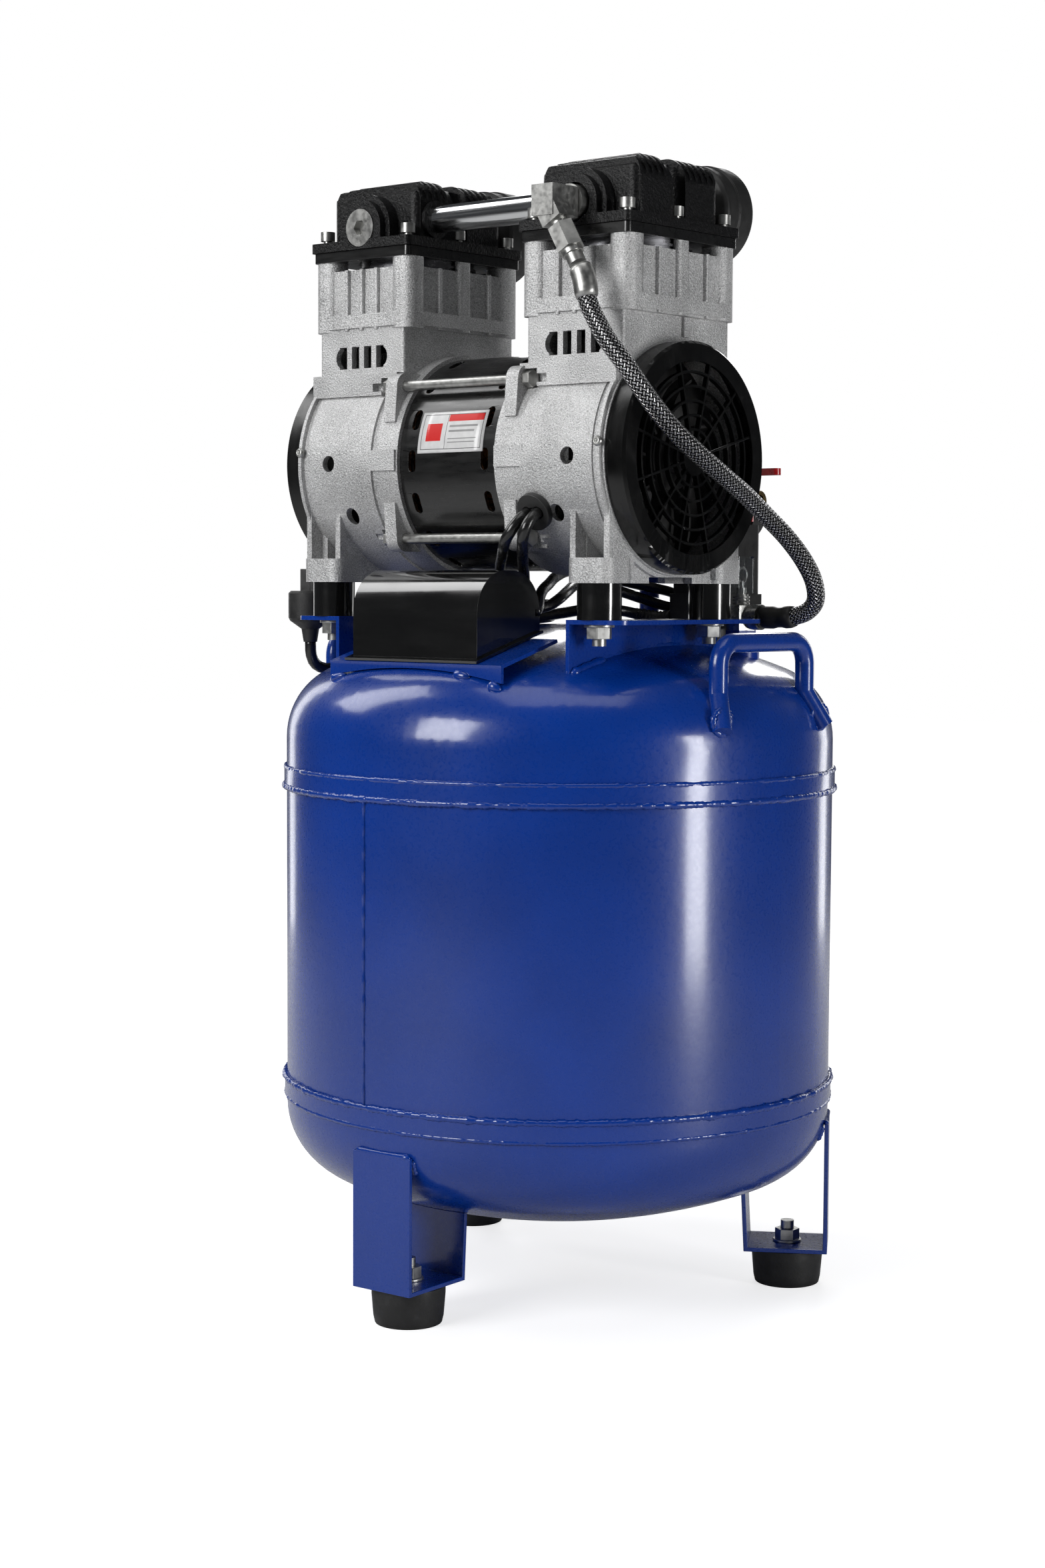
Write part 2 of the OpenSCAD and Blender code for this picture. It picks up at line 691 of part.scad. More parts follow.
// Cast head: base plate, arched body, fins across it and the stepped port boss
module head() {
    y_half = 38;
    x_half = 35;
    arch_r = 96;
    port = port_z - block_top - plate_t;
    translate([cyl_x, axis_y, block_top + plate_t]) difference() {
        union() {
            block(2 * block_hx + 1, 2 * block_hy + 4, base_t, 3);
            intersection() {
                block(2 * x_half, 2 * y_half, 43, 6);
                translate([-50, 0, 40 - arch_r]) bar_x(arch_r, 100);
                shoulders(2 * x_half, 37.5);
            }
            for (y = [-34, -28.5, -23, -17.5, -12, 6, 11.5, 17, 22.5, 28, 33.5]) intersection() {
                translate([-x_half + 0.5, y - 1, base_t]) cube([2 * x_half - 1, 2, 40]);
                translate([-50, 0, 43.5 - arch_r]) bar_x(arch_r, 100);
                shoulders(2 * x_half - 1, 41);
            }
            for (b = [[-block_hy - 0.5, 16.5, 26], [-block_hy + 4, 20, 20]]) translate([0, b[0], 0]) {
                translate([0, 0, port]) bar_y(b[1], b[2]);
                translate([-b[1], 0, 0]) cube([2 * b[1], b[2], port]);
            }
            translate([0, 24, 18]) bar_y(14, 23);
            translate([-x_half - 2, -23, 17]) bar_x(11, 12);
        }
        translate([0, -55, port]) {
            bar_y(6.6, 34);
            bar_y(11.3, 11);
        }
        translate([-50, -60, -20]) cube([100, 120, 20]);
        at_screws() {
            translate([0, 0, -1]) cylinder(r = 2.6, h = 20);
            translate([0, 0, base_t + 2]) cylinder(r = 6, h = 50);
        }
        translate([-x_half - 5, -23, 17]) bar_x(8.05, 15);
        translate([0, 37, 18]) bar_y(9, 20);
    }
}

module head_right() {
    color(BLACK) head();
}

module head_left() {
    color(BLACK) side(-1) head();
}

// Socket-head screw with its lower end at z0
module head_screw(z0) {
    z = head_z + 2;
    difference() {
        union() {
            translate([0, 0, z0]) cylinder(r = 2.5, h = z - z0);
            translate([0, 0, z]) cylinder(r = 4.3, h = 5.5);
        }
        translate([0, 0, z + 2.5]) hex(4, 5);
    }
}

// Twelve screws: the corner ones reach into the cylinder, the middle ones end in the valve plate
module head_screws() {
    color(STEEL) for (s = [-1, 1]) side(s) translate([cyl_x, axis_y, 0]) {
        at_screws([-44, 44]) head_screw(block_top - 18);
        at_screws([0]) head_screw(block_top + 0.5);
    }
}

// Round plug that closes the left head's port
module head_plug() {
    color(STEEL) translate([-cyl_x, axis_y - 51, port_z]) difference() {
        union() {
            bar_y(11, 7);
            bar_y(6.5, 16);
        }
        translate([0, -1, 0]) rotate([-90, 0, 0]) hex(8, 6);
    }
}

// Pipe that joins the two heads
module crossover_tube() {
    x = cyl_x - 35 + 6;
    color(STEEL) translate([-x, axis_y - 23, block_top + plate_t + 17]) difference() {
        bar_x(8, 2 * x);
        translate([-1, 0, 0]) bar_x(6.5, 2 * x + 2);
    }
}

// Intake filter: neck, base disc and stepped canister
module filter() {
    translate([cyl_x, axis_y + 44, block_top + plate_t + 18]) rotate([-90, 0, 0]) rotate_extrude($fn = 96)
        polygon([[5, -6], [8.9, -6], [8.9, 3.5], [12, 8], [26, 11], [28, 13], [28, 23], [29, 23],
            [29, 35], [27, 37], [20, 38], [5, 38]]);
}

module filter_right() {
    color(BLACK) filter();
}

module filter_left() {
    color(BLACK) side(-1) filter();
}

// ---------- electrics and hoses ----------

module cable_gland() {
    color(BLACK) on_axis() rotate([gland_tilt, 0, 0]) translate([gland_x, -shell_r - 4, 0]) difference() {
        union() {
            translate([0, 2, 0]) bar_y(9, 10);
            bar_y(11, 4);
        }
        for (x = [-3.8, 3.8]) translate([x, -1, 0]) bar_y(wire_r + 0.1, 20);
    }
}

module motor_leads() {
    color(BLACK) {
        tube(lead_a, wire_r);
        tube(lead_b, wire_r);
        tube(lead_c, wire_r);
    }
}

// Elbow on the right head: port leg, square body, slanted leg, union nut and ferrule
module hose_elbow() {
    color(STEEL) translate([cyl_x, axis_y - 70, port_z - 2.6]) {
        translate([0, 0, 2.6]) {
            bar_y(6.5, 28);
            translate([0, 15, 0]) bar_y(10, 8);
        }
        translate([-7.5, -7.5, -7]) cube([15, 22, 17]);
        rotate([0, 150, 0]) {
            translate([0, 0, -4]) rotate(45) cylinder(r = 9.6, h = 16, $fn = 4);
            cylinder(r = 5, h = 18);
            translate([0, 0, 15]) hex(14, 15);
            translate([0, 0, 30]) cylinder(r = 6, h = 3);
            translate([0, 0, 33]) cylinder(r = 5, h = 6);
        }
    }
}

module hose() {
    color("#6c6e70") tube(hose_pts, hose_r, 12);
}

// Welded bung, tee and the hose's end fitting
module tank_tee() {
    z0 = dome_z(tee[0], tee[1]) + 4;
    color(BLUE) difference() {
        translate([tee[0], tee[1], z0 - 14]) cylinder(r = 11, h = 14);
        tank_solid();
    }
    color(STEEL) translate([tee[0], tee[1], 0]) {
        translate([0, 0, z0]) cylinder(r = 6, h = 5);
        translate([0, 0, z0 + 4]) hex(17, port_axis_z - z0 + 3);
        translate([0, 0, port_axis_z]) bar_x(6.5, 9);
        translate([8, 0, port_axis_z]) rotate([0, 90, 0]) cylinder(r = 7.5, h = 7);
    }
}

// Body of the pressure switch on its tank nipple: base, cover and cable entries
module pressure_switch() {
    z = dome_z(switch_at[0], switch_at[1]);
    color("#3b3c3e") difference() {
        translate([switch_at[0], switch_at[1], 0]) {
            translate([0, 0, z - 2]) cylinder(r = 8, h = switch_z - z + 3);
            translate([0, 0, switch_z]) block(40, 44, 21, 3);
            translate([0, 0, switch_z + 21]) block(38, 42, 42, 5);
        }
        tank_solid();
        translate([knob_at[0], knob_at[1], switch_z + 55]) cylinder(r = 3.55, h = 20);
        translate([switch_at[0] - 21, 56, 401.5]) bar_x(cord_r, 3);
        translate([switch_at[0] - 21, 68, 407]) bar_x(wire_r, 2);
        translate([switch_at[0] - 21, 80, 412]) bar_x(wire_r, 2);
    }
}

// Round on-off knob of the pressure switch; it is pulled up to switch on
module switch_knob() {
    color(RED) translate([knob_at[0], knob_at[1], switch_z + 56]) {
        cylinder(r = 3.5, h = 10);
        translate([0, 0, 9]) cylinder(r = 8, h = 7);
    }
}

// Riser from the dome, cross bar, ball valve body and outlet nozzle
module outlet_pipe() {
    z = dome_z(riser[0], riser[1]);
    color(BLUE) difference() {
        translate([riser[0], riser[1], z - 4]) cylinder(r = 6, h = bar_z - z - 4);
        tank_solid();
    }
    color(BRASS) difference() {
        union() {
            translate([riser[0] - 9, bar_y - 8, bar_z - 8]) cube([62, 16, 16]);
            translate([riser[0] + 53, bar_y, bar_z]) bar_x(7.5, 4);
            translate([lever_x - 9, bar_y - 9, bar_z - 9]) cube([14, 18, 18]);
            translate([lever_x + 4, bar_y, bar_z]) bar_x(6.5, 14);
            translate([lever_x - 2, bar_y, bar_z + 8]) cylinder(r = 5, h = 4.5);
        }
        translate([riser[0] + 50, bar_y, bar_z]) bar_x(4, 60);
        translate([gauge_x, bar_y, gauge_z]) bar_y(3.05, 20);
        translate([lever_x - 2, bar_y, bar_z + 2]) cylinder(r = 2.05, h = 20);
    }
}

// Red lever of the outlet's ball valve, with its stem
module outlet_lever() {
    color(RED) {
        translate([lever_x - 2, bar_y, bar_z + 5]) cylinder(r = 2, h = lever_z - bar_z);
        translate([lever_x - 2, bar_y, lever_z]) cylinder(r = 6, h = 4);
        translate([lever_x - 2, bar_y - 3, lever_z]) cube([31, 6, 4]);
        translate([lever_x + 29, bar_y, lever_z]) cylinder(r = 3, h = 4);
    }
}

// Pressure gauge with an open face towards +Y
module gauge() {
    color(BLACK) translate([gauge_x, bar_y + 3, gauge_z]) difference() {
        union() {
            bar_y(3, 33);
            translate([0, 5.2, 0]) bar_y(5, 9);
            translate([0, 32, 0]) bar_y(18, 12);
        }
        translate([0, 39, 0]) bar_y(16.5, 10);
        translate([0, 37, 0]) bar_y(1.05, 10);
    }
}

module gauge_needle() {
    color(RED) translate([gauge_x, bar_y + 3, gauge_z]) {
        translate([0, 37.5, 0]) bar_y(1, 4);
        translate([0, 40.5, 0]) rotate([0, -45, 0]) translate([-0.5, 0, -13]) cube([1, 0.8, 16]);
    }
}

// Spring safety valve on top of the tee
module safety_valve() {
    z0 = port_axis_z + 7;
    color(STEEL) translate([tee[0], tee[1], 0]) difference() {
        union() {
            translate([0, 0, z0]) cylinder(r = 4.2, h = 6.6);
            for (k = [0:2]) translate([0, 0, z0 + 0.4 + k * 1.9]) cylinder(r = 5.1, h = 1.2);
            translate([0, 0, z0 + 6.6]) cylinder(r = 2.6, h = 3.9);
        }
        translate([0, 0, z0 + 2]) cylinder(r = 1.25, h = 20);
    }
}

// Pull ring with its stem; it is lifted to blow the tank off
module safety_ring() {
    z0 = port_axis_z + 9.5;
    color(STEEL) translate([tee[0], tee[1], 0]) {
        translate([0, 0, z0]) cylinder(r = 1.2, h = 12);
        translate([0, 0, z0 + 15.5]) rotate([0, 90, 0]) rotate_extrude() translate([4.3, 0]) circle(0.8);
    }
}

// Clear guard over the safety valve's stem, open below
module valve_guard() {
    z0 = port_axis_z + 14;
    color("#d8e0e4", 0.4) translate([tee[0], tee[1], z0]) difference() {
        block(7.6, 16, 22, 1);
        translate([0, 0, -1]) block(6, 14.4, 21.8, 0.5);
    }
}

// Drain cock under the tank: bung, level body with an outlet below and its thumb screw at the back
drain_z = seam_low_z + low_head_dz - head_h;
module drain_valve() {
    color(BRASS) difference() {
        union() {
            translate([0, 0, drain_z - 3]) hex(17, 7);
            translate([0, -7, drain_z - 4.5]) bar_y(5, 21);
        }
        tank_solid();
        translate([0, 1, drain_z - 4.5]) bar_y(3.05, 20);
        translate([0, -3, drain_z - 12]) cylinder(r = 1.5, h = 8);
    }
}

module drain_screw() {
    color(BRASS) translate([0, 4, drain_z - 4.5]) difference() {
        union() {
            bar_y(3, 12);
            translate([0, 11, 0]) bar_y(4.6, 8);
        }
        translate([-5, 17, -0.6]) cube([10, 3, 1.2]);
    }
}

// ---------- moving parts of the pump ----------

// Shaft with its laminated rotor
module rotor() {
    color(STEEL) on_axis() {
        translate([-118, 0, 0]) bar_x(shaft_r, 236);
        translate([-21, 0, 0]) bar_x(34, 42);
    }
}

// Cooling fan at each end: hub and curved blades
module fans() {
    blade_r = 34;
    root = 15;
    color(BLACK) on_axis() for (s = [-1, 1]) side(s) translate([99, 0, 0]) difference() {
        union() {
            bar_x(18, 15);
            for (a = [0:45:315]) rotate([a, 0, 0]) intersection() {
                translate([2, blade_r, root]) difference() {
                    bar_x(blade_r, 11);
                    translate([-1, 0, 0]) bar_x(blade_r - 1.6, 13);
                }
                translate([1, -1, root - 2]) cube([13, 21, 33]);
            }
        }
        translate([-1, 0, 0]) bar_x(shaft_r, 20);
    }
}

// Eccentric crank of each cylinder; the right one points up, the left one down
module cranks() {
    color("#7d8083") on_axis() for (s = [-1, 1]) side(s) difference() {
        union() {
            translate([crank_x[0] - 6, 0, 0]) bar_x(14, 6.5);
            translate([crank_x[0], 0, s * throw]) bar_x(pin_r, crank_x[1] - crank_x[0]);
            translate([crank_x[1] - 0.5, 0, 0]) bar_x(14, 6);
            translate([crank_x[1] - 0.5, -14, s > 0 ? -24 : 0]) cube([6, 28, 24]);
        }
        translate([crank_x[0] - 8, 0, 0]) bar_x(shaft_r, 40);
    }
}

// Connecting rod in one piece with its disc piston, s = 1 at the top of its stroke
module con_rod(s) {
    big_r = pin_r + 6.2;
    top = block_top - axis_z - 2 * throw - 1;
    w = crank_x[1] - crank_x[0] - 2;
    color(CAST) side(s) translate([crank_x[0] + 1, axis_y, axis_z + s * throw]) difference() {
        union() {
            bar_x(big_r, w);
            translate([1, -7, big_r - 3]) cube([w - 2, 14, top + throw - big_r - 8]);
            translate([w / 2, 0, top + throw - 12]) cylinder(r = piston_r - 0.6, h = 9);
            translate([w / 2, 0, top + throw - 3]) cylinder(r = piston_r, h = 3);
        }
        translate([-1, 0, 0]) bar_x(pin_r + pin_gap, w + 2);
    }
}

module rod_right() {
    con_rod(1);
}

module rod_left() {
    con_rod(-1);
}

// ---------- power cord ----------

module power_cord() {
    color(BLACK) {
        tube(cord_a, cord_r);
        tube(cord_b, cord_r);
    }
}

// Closed solid of the wound cord, lying on the dome
module cord_coil() {
    color(BLACK) translate([coil_at[0], coil_at[1], dome_z(coil_at[0], coil_at[1])])
        rotate([0, 0, atan2(coil_at[1], coil_at[0])]) rotate([0, coil_tilt, 0]) translate([0, 0, -0.5])
            rotate_extrude() translate([24.5, 0]) square([21, 14]);
}

// Two-pin plug standing on its cord, blades up
module plug() {
    translate([plug_at[0], plug_at[1], plug_z]) {
        color(BLACK) difference() {
            rotate_extrude() polygon([[0, 0], [4.2, 0], [5.5, 8], [12.5, 13], [13.5, 15], [13.5, 30],
                [12, 31.5], [0, 31.5]]);
            translate([0, 0, -1]) cylinder(r = cord_r - 0.01, h = 1);
        }
        color(STEEL) rotate([0, 0, 108]) for (x = [-6.35, 6.35])
            translate([x - 0.8, -3.2, 31]) cube([1.6, 6.4, 14]);
    }
}

// ---------- selection ----------

tank_barrel();
dome_top();
dome_bottom();
leg(0);  // leg_front
leg(1);  // leg_right
leg(2);  // leg_rear
feet();
m8_studs();
m8_nuts();
bracket(-1);  // bracket_left
bracket(1);  // bracket_right
handles();
isolators();
capacitor_tray();
capacitor_cover();
capacitor();
stator_band();
stator_core();
windings();
shell_left();
shell_right();
bearings();
cylinder_left();
cylinder_right();
liners();
valve_plates();
head_left();
head_right();
head_screws();
head_plug();
crossover_tube();
filter_left();
filter_right();
cover_left();
cover_right();
tie_rods();
cable_gland();
motor_leads();
hose_elbow();
hose();
tank_tee();
pressure_switch();
switch_knob();
outlet_pipe();
outlet_lever();
gauge();
gauge_needle();
safety_valve();
safety_ring();
valve_guard();
drain_valve();
drain_screw();
rotor();
fans();
cranks();
rod_left();
rod_right();
power_cord();
cord_coil();
plug();
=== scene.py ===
import json
import math
import bpy
from mathutils import Matrix, Vector, noise


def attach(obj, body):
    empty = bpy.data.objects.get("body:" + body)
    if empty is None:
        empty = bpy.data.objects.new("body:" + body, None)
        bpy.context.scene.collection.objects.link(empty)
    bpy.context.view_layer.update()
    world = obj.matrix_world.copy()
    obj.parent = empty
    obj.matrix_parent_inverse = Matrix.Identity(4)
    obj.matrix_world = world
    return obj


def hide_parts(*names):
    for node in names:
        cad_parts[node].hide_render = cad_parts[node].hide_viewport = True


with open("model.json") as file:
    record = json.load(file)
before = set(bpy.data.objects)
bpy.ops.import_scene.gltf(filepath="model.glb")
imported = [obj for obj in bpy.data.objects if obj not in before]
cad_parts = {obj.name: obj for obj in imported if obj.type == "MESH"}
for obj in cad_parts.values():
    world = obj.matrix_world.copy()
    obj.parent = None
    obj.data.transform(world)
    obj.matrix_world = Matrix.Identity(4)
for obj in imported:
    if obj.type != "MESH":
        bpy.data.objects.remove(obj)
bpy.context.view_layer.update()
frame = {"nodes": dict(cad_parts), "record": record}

NODES = frame["nodes"]

MM = 0.001
CAMERA_AZIMUTH = 39.74
MOTOR_Y, MOTOR_Z = -0.039, 0.493
LEG_DEGREES = (273, 33, 153)

# Tank, in millimetres: crown and knuckle of the pressed heads.
CROWN_RADIUS, CROWN_BASE_Z, CROWN_DROP, CROWN_EDGE = 370, 310.6, 282.03, 136.6
KNUCKLE_RADIUS, KNUCKLE_AT, KNUCKLE_TOP_Z, KNUCKLE_LOW_Z = 45, 120, 330.6, 110


# ---------- camera ----------

def make_camera():
    cam = bpy.data.objects.new("camera", bpy.data.cameras.new("camera"))
    bpy.context.scene.collection.objects.link(cam)
    cam.data.lens = 60.315
    cam.data.sensor_width = 36.0
    cam.data.clip_start = 0.05
    az, left, down, roll = map(math.radians, (CAMERA_AZIMUTH, 0.802, 4.325, 0.29))
    turn = (Matrix.Rotation(az + left, 4, "Z") @ Matrix.Rotation(-down, 4, "X")
            @ Matrix.Rotation(math.pi / 2, 4, "X") @ Matrix.Rotation(roll, 4, "Z"))
    cam.matrix_world = Matrix.Translation((1.0187, -1.2253, 0.4216)) @ turn
    bpy.context.scene.camera = cam


make_camera()


# ---------- material nodes ----------

class Mat:
    """A Principled material with short calls for procedural detail in object space, in metres."""

    def __init__(self, name, color, rough, metal=0.0, **sockets):
        self.m = bpy.data.materials.new(name)
        self.m.use_nodes = True
        self.nt = self.m.node_tree
        self.b = self.nt.nodes["Principled BSDF"]
        self.b.inputs["Base Color"].default_value = (*color, 1)
        self.b.inputs["Roughness"].default_value = rough
        self.b.inputs["Metallic"].default_value = metal
        for k, v in sockets.items():
            self.b.inputs[k.replace("_", " ")].default_value = v
        self.co = self.nt.nodes.new("ShaderNodeTexCoord").outputs["Object"]
        self.normal = None

    def node(self, kind, **props):
        n = self.nt.nodes.new(kind)
        for k, v in props.items():
            setattr(n, k, v)
        return n

    def link(self, a, b):
        self.nt.links.new(a, b)

    def mapped(self, scale):
        n = self.node("ShaderNodeMapping")
        n.inputs["Scale"].default_value = scale
        self.link(self.co, n.inputs["Vector"])
        return n.outputs[0]

    def noise(self, scale, detail, src=None, rough=0.5):
        n = self.node("ShaderNodeTexNoise")
        n.inputs["Scale"].default_value = scale
        n.inputs["Detail"].default_value = detail
        n.inputs["Roughness"].default_value = rough
        self.link(src or self.co, n.inputs["Vector"])
        return n.outputs[0]

    def cells(self, scale):
        n = self.node("ShaderNodeTexVoronoi")
        n.inputs["Scale"].default_value = scale
        self.link(self.co, n.inputs["Vector"])
        return n.outputs["Distance"]

    def math(self, op, a, b=0.0, clamp=False):
        n = self.node("ShaderNodeMath", operation=op, use_clamp=clamp)
        for i, v in enumerate((a, b)):
            if isinstance(v, (int, float)):
                n.inputs[i].default_value = v
            else:
                self.link(v, n.inputs[i])
        return n.outputs[0]

    def ramp(self, fac, stops):
        n = self.node("ShaderNodeValToRGB")
        e = n.color_ramp.elements
        while len(e) < len(stops):
            e.new(0.5)
        for el, (p, c) in zip(e, stops):
            el.position = p
            el.color = (c, c, c, 1) if isinstance(c, (int, float)) else (*c, 1)
        self.link(fac, n.inputs[0])
        return n.outputs[0]

    def span(self, fac, lo, hi, a=0.0, b=1.0):
        n = self.node("ShaderNodeMapRange")
        for i, v in enumerate((lo, hi, a, b)):
            n.inputs[i + 1].default_value = v
        self.link(fac, n.inputs[0])
        return n.outputs[0]

    def color(self, out):
        self.link(out, self.b.inputs["Base Color"])

    def rough(self, fac, a, b, lo=0.3, hi=0.7):
        self.link(self.span(fac, lo, hi, a, b), self.b.inputs["Roughness"])

    def bump(self, height, strength, distance):
        n = self.node("ShaderNodeBump")
        n.inputs["Strength"].default_value = strength
        n.inputs["Distance"].default_value = distance
        self.link(height, n.inputs["Height"])
        if self.normal:
            self.link(self.normal, n.inputs["Normal"])
        self.normal = n.outputs[0]
        self.link(self.normal, self.b.inputs["Normal"])


def mix(m, fac, a, b):
    """Colour a where fac is 0 and b where it is 1."""
    n = m.node("ShaderNodeMix", data_type="RGBA")
    m.link(fac, n.inputs[0])
    for i, v in ((6, a), (7, b)):
        if isinstance(v, tuple):
            n.inputs[i].default_value = (*v, 1)
        else:
            m.link(v, n.inputs[i])
    return n.outputs[2]


def paint(m):
    """Thick glossy enamel: orange peel and faint mottling."""
    big = m.noise(14, 2)
    m.bump(m.noise(190, 2), 0.10, 0.0010)
    m.bump(m.noise(900, 1), 0.10, 0.0003)
    m.color(m.ramp(big, [(0.3, (0.0004, 0.032, 0.250)), (0.7, (0.0008, 0.041, 0.315))]))
    m.rough(m.noise(500, 2), 0.24, 0.36)
    return m


def sand_cast(m, lo, hi, r0, r1, bump, scale=1500):
    """Sand-cast skin: fine pits and grains, from colour lo to hi and roughness r0 to r1."""
    g = m.noise(scale, 3, rough=0.65)
    c = m.cells(scale * 0.55)
    m.bump(m.noise(60, 3), 0.25, 0.0008)
    m.bump(m.math("ADD", g, m.math("MULTIPLY", c, 0.5)), bump, 0.0005)
    m.color(m.ramp(m.math("ADD", m.math("MULTIPLY", g, 0.8), m.math("MULTIPLY", m.noise(35, 3), 0.2)),
                   [(0.32, lo), (0.66, hi)]))
    m.rough(g, r0, r1)
    return m


def build_materials():
    M = {}
    M["tank_blue"] = paint(Mat("blue_enamel", (0.002, 0.03, 0.25), 0.26, Specular_IOR_Level=0.3,
                               Coat_Weight=0.9, Coat_Roughness=0.14))
    M["cast_alu"] = sand_cast(Mat("sand_cast_aluminium", (0.6, 0.6, 0.6), 0.45, 0.72),
                              (0.20, 0.20, 0.202), (0.86, 0.86, 0.86), 0.38, 0.58, 0.7)
    m = Mat("satin_black_steel", (0.01, 0.01, 0.011), 0.3, 0.0, Coat_Weight=0.5, Coat_Roughness=0.15)
    m.bump(m.noise(260, 2), 0.08, 0.0006)
    m.rough(m.noise(300, 3, src=m.mapped((0.15, 1, 1))), 0.22, 0.40)
    m.color(m.ramp(m.noise(40, 3), [(0.3, 0.004), (0.7, 0.008)]))
    M["black_steel"] = m
    M["black_cast"] = sand_cast(Mat("black_cast_lacquer", (0.01, 0.01, 0.011), 0.4, 0.0, Specular_IOR_Level=0.28),
                                (0.0015, 0.0015, 0.0018), (0.007, 0.007, 0.0075), 0.26, 0.46, 0.7, 900)
    m = Mat("gloss_black_plastic", (0.006, 0.006, 0.007), 0.12, Specular_IOR_Level=0.8, Coat_Weight=0.8,
            Coat_Roughness=0.06)
    m.bump(m.noise(40, 2), 0.05, 0.002)
    m.rough(m.noise(25, 4, src=m.mapped((1, 1, 4))), 0.09, 0.22)
    m.color(m.ramp(m.noise(900, 2), [(0.35, 0.003), (0.8, 0.007)]))
    M["gloss_black"] = m
    m = Mat("moulded_black_plastic", (0.016, 0.016, 0.017), 0.48)
    m.bump(m.noise(1600, 2), 0.25, 0.0003)
    m.rough(m.noise(200, 3), 0.40, 0.60)
    m.color(m.ramp(m.noise(60, 3), [(0.3, 0.012), (0.7, 0.021)]))
    M["matte_black"] = m
    m = Mat("fan_cover_black", (0.004, 0.004, 0.0045), 0.2, Specular_IOR_Level=0.45)
    m.bump(m.noise(90, 2), 0.05, 0.0008)
    m.rough(m.noise(60, 5, src=m.mapped((1, 1, 0.3))), 0.13, 0.34)
    m.color(m.ramp(m.noise(150, 5), [(0.3, 0.0025), (0.66, 0.005), (0.8, 0.016)]))
    M["cover"] = m
    m = Mat("black_rubber", (0.012, 0.012, 0.012), 0.5)
    m.bump(m.noise(700, 3), 0.22, 0.0005)
    m.rough(m.noise(90, 4), 0.38, 0.66)
    m.color(m.ramp(m.noise(120, 4), [(0.3, 0.009), (0.62, 0.016), (0.8, 0.034)]))
    M["rubber"] = m
    m = Mat("zinc_plate", (0.5, 0.5, 0.48), 0.3, 1.0)
    m.bump(m.noise(600, 2), 0.05, 0.0001)
    m.rough(m.noise(350, 3), 0.30, 0.46)
    m.color(m.ramp(m.noise(180, 3), [(0.25, (0.34, 0.34, 0.33)), (0.7, (0.58, 0.58, 0.56))]))
    M["zinc"] = m
    m = Mat("polished_tube", (0.72, 0.73, 0.74), 0.1, 1.0)
    s = m.noise(900, 2, src=m.mapped((0.02, 1, 1)))
    m.bump(s, 0.10, 0.0002)
    m.rough(s, 0.08, 0.20)
    M["chrome"] = m
    m = Mat("turned_brass", (0.6, 0.42, 0.18), 0.28, 1.0)
    m.bump(m.noise(800, 2, src=m.mapped((1, 0.2, 1))), 0.15, 0.0002)
    m.rough(m.noise(240, 3), 0.20, 0.40)
    m.color(m.ramp(m.noise(90, 3), [(0.3, (0.46, 0.31, 0.12)), (0.7, (0.68, 0.49, 0.22))]))
    M["brass"] = m
    m = Mat("enamelled_wire", (0.5, 0.2, 0.07), 0.3, 0.8)
    w = m.node("ShaderNodeTexWave", bands_direction="Y")
    w.inputs["Scale"].default_value = 190
    w.inputs["Distortion"].default_value = 3
    m.link(m.co, w.inputs["Vector"])
    m.bump(w.outputs["Fac"], 0.9, 0.0008)
    # The colour is darker in the grooves between the turns, the low parts of the same wave as the bump: painted
    # shade.
    m.color(m.ramp(w.outputs["Fac"], [(0.1, (0.10, 0.03, 0.01)), (0.7, (0.62, 0.26, 0.09))]))
    M["copper"] = m
    m = Mat("stacked_laminations", (0.3, 0.3, 0.31), 0.4, 0.9)
    w = m.node("ShaderNodeTexWave", bands_direction="X")
    w.inputs["Scale"].default_value = 320
    m.link(m.co, w.inputs["Vector"])
    m.bump(w.outputs["Fac"], 0.6, 0.0004)
    m.color(m.ramp(m.noise(70, 4), [(0.3, (0.20, 0.20, 0.21)), (0.7, (0.40, 0.40, 0.41))]))
    M["lamination"] = m
    m = Mat("anodised_liner", (0.16, 0.16, 0.17), 0.3, 0.9)
    m.bump(m.noise(1200, 2, src=m.mapped((1, 1, 6))), 0.2, 0.0002)
    m.rough(m.noise(200, 2), 0.22, 0.42)
    M["liner"] = m
    m = Mat("pvc_sheath", (0.008, 0.008, 0.009), 0.22, Coat_Weight=0.3, Coat_Roughness=0.12)
    m.bump(m.noise(260, 2), 0.12, 0.0006)
    m.rough(m.noise(120, 3), 0.16, 0.34)
    m.color(m.ramp(m.noise(80, 3), [(0.3, 0.006), (0.75, 0.013)]))
    M["cable"] = m
    m = Mat("clear_plastic", (0.93, 0.95, 0.96), 0.04, IOR=1.49, Transmission_Weight=1.0)
    m.bump(m.noise(160, 2), 0.05, 0.0008)
    m.rough(m.noise(300, 3), 0.02, 0.10)
    M["clear"] = m
    m = Mat("red_vinyl", (0.5, 0.006, 0.01), 0.3, Coat_Weight=0.6, Coat_Roughness=0.1)
    m.bump(m.noise(500, 2), 0.10, 0.0004)
    m.color(m.ramp(m.noise(120, 3), [(0.3, (0.38, 0.004, 0.006)), (0.7, (0.56, 0.010, 0.014))]))
    m.rough(m.noise(240, 2), 0.22, 0.40)
    M["red"] = m
    M["braid"] = braid_material()
    M["label"] = label_material()
    M["dial"] = dial = Mat("dial_card", (0.82, 0.82, 0.80), 0.5)
    dial.color(dial.ramp(dial.noise(300, 3), [(0.3, 0.74), (0.7, 0.86)]))
    for name, split, metal in (("brass_on_blue", 0.4636, (0.58, 0.41, 0.18)),
                               ("zinc_on_blue", 0.3955, (0.60, 0.60, 0.58))):
        M[name] = two_tone(name, split, metal)
    return M


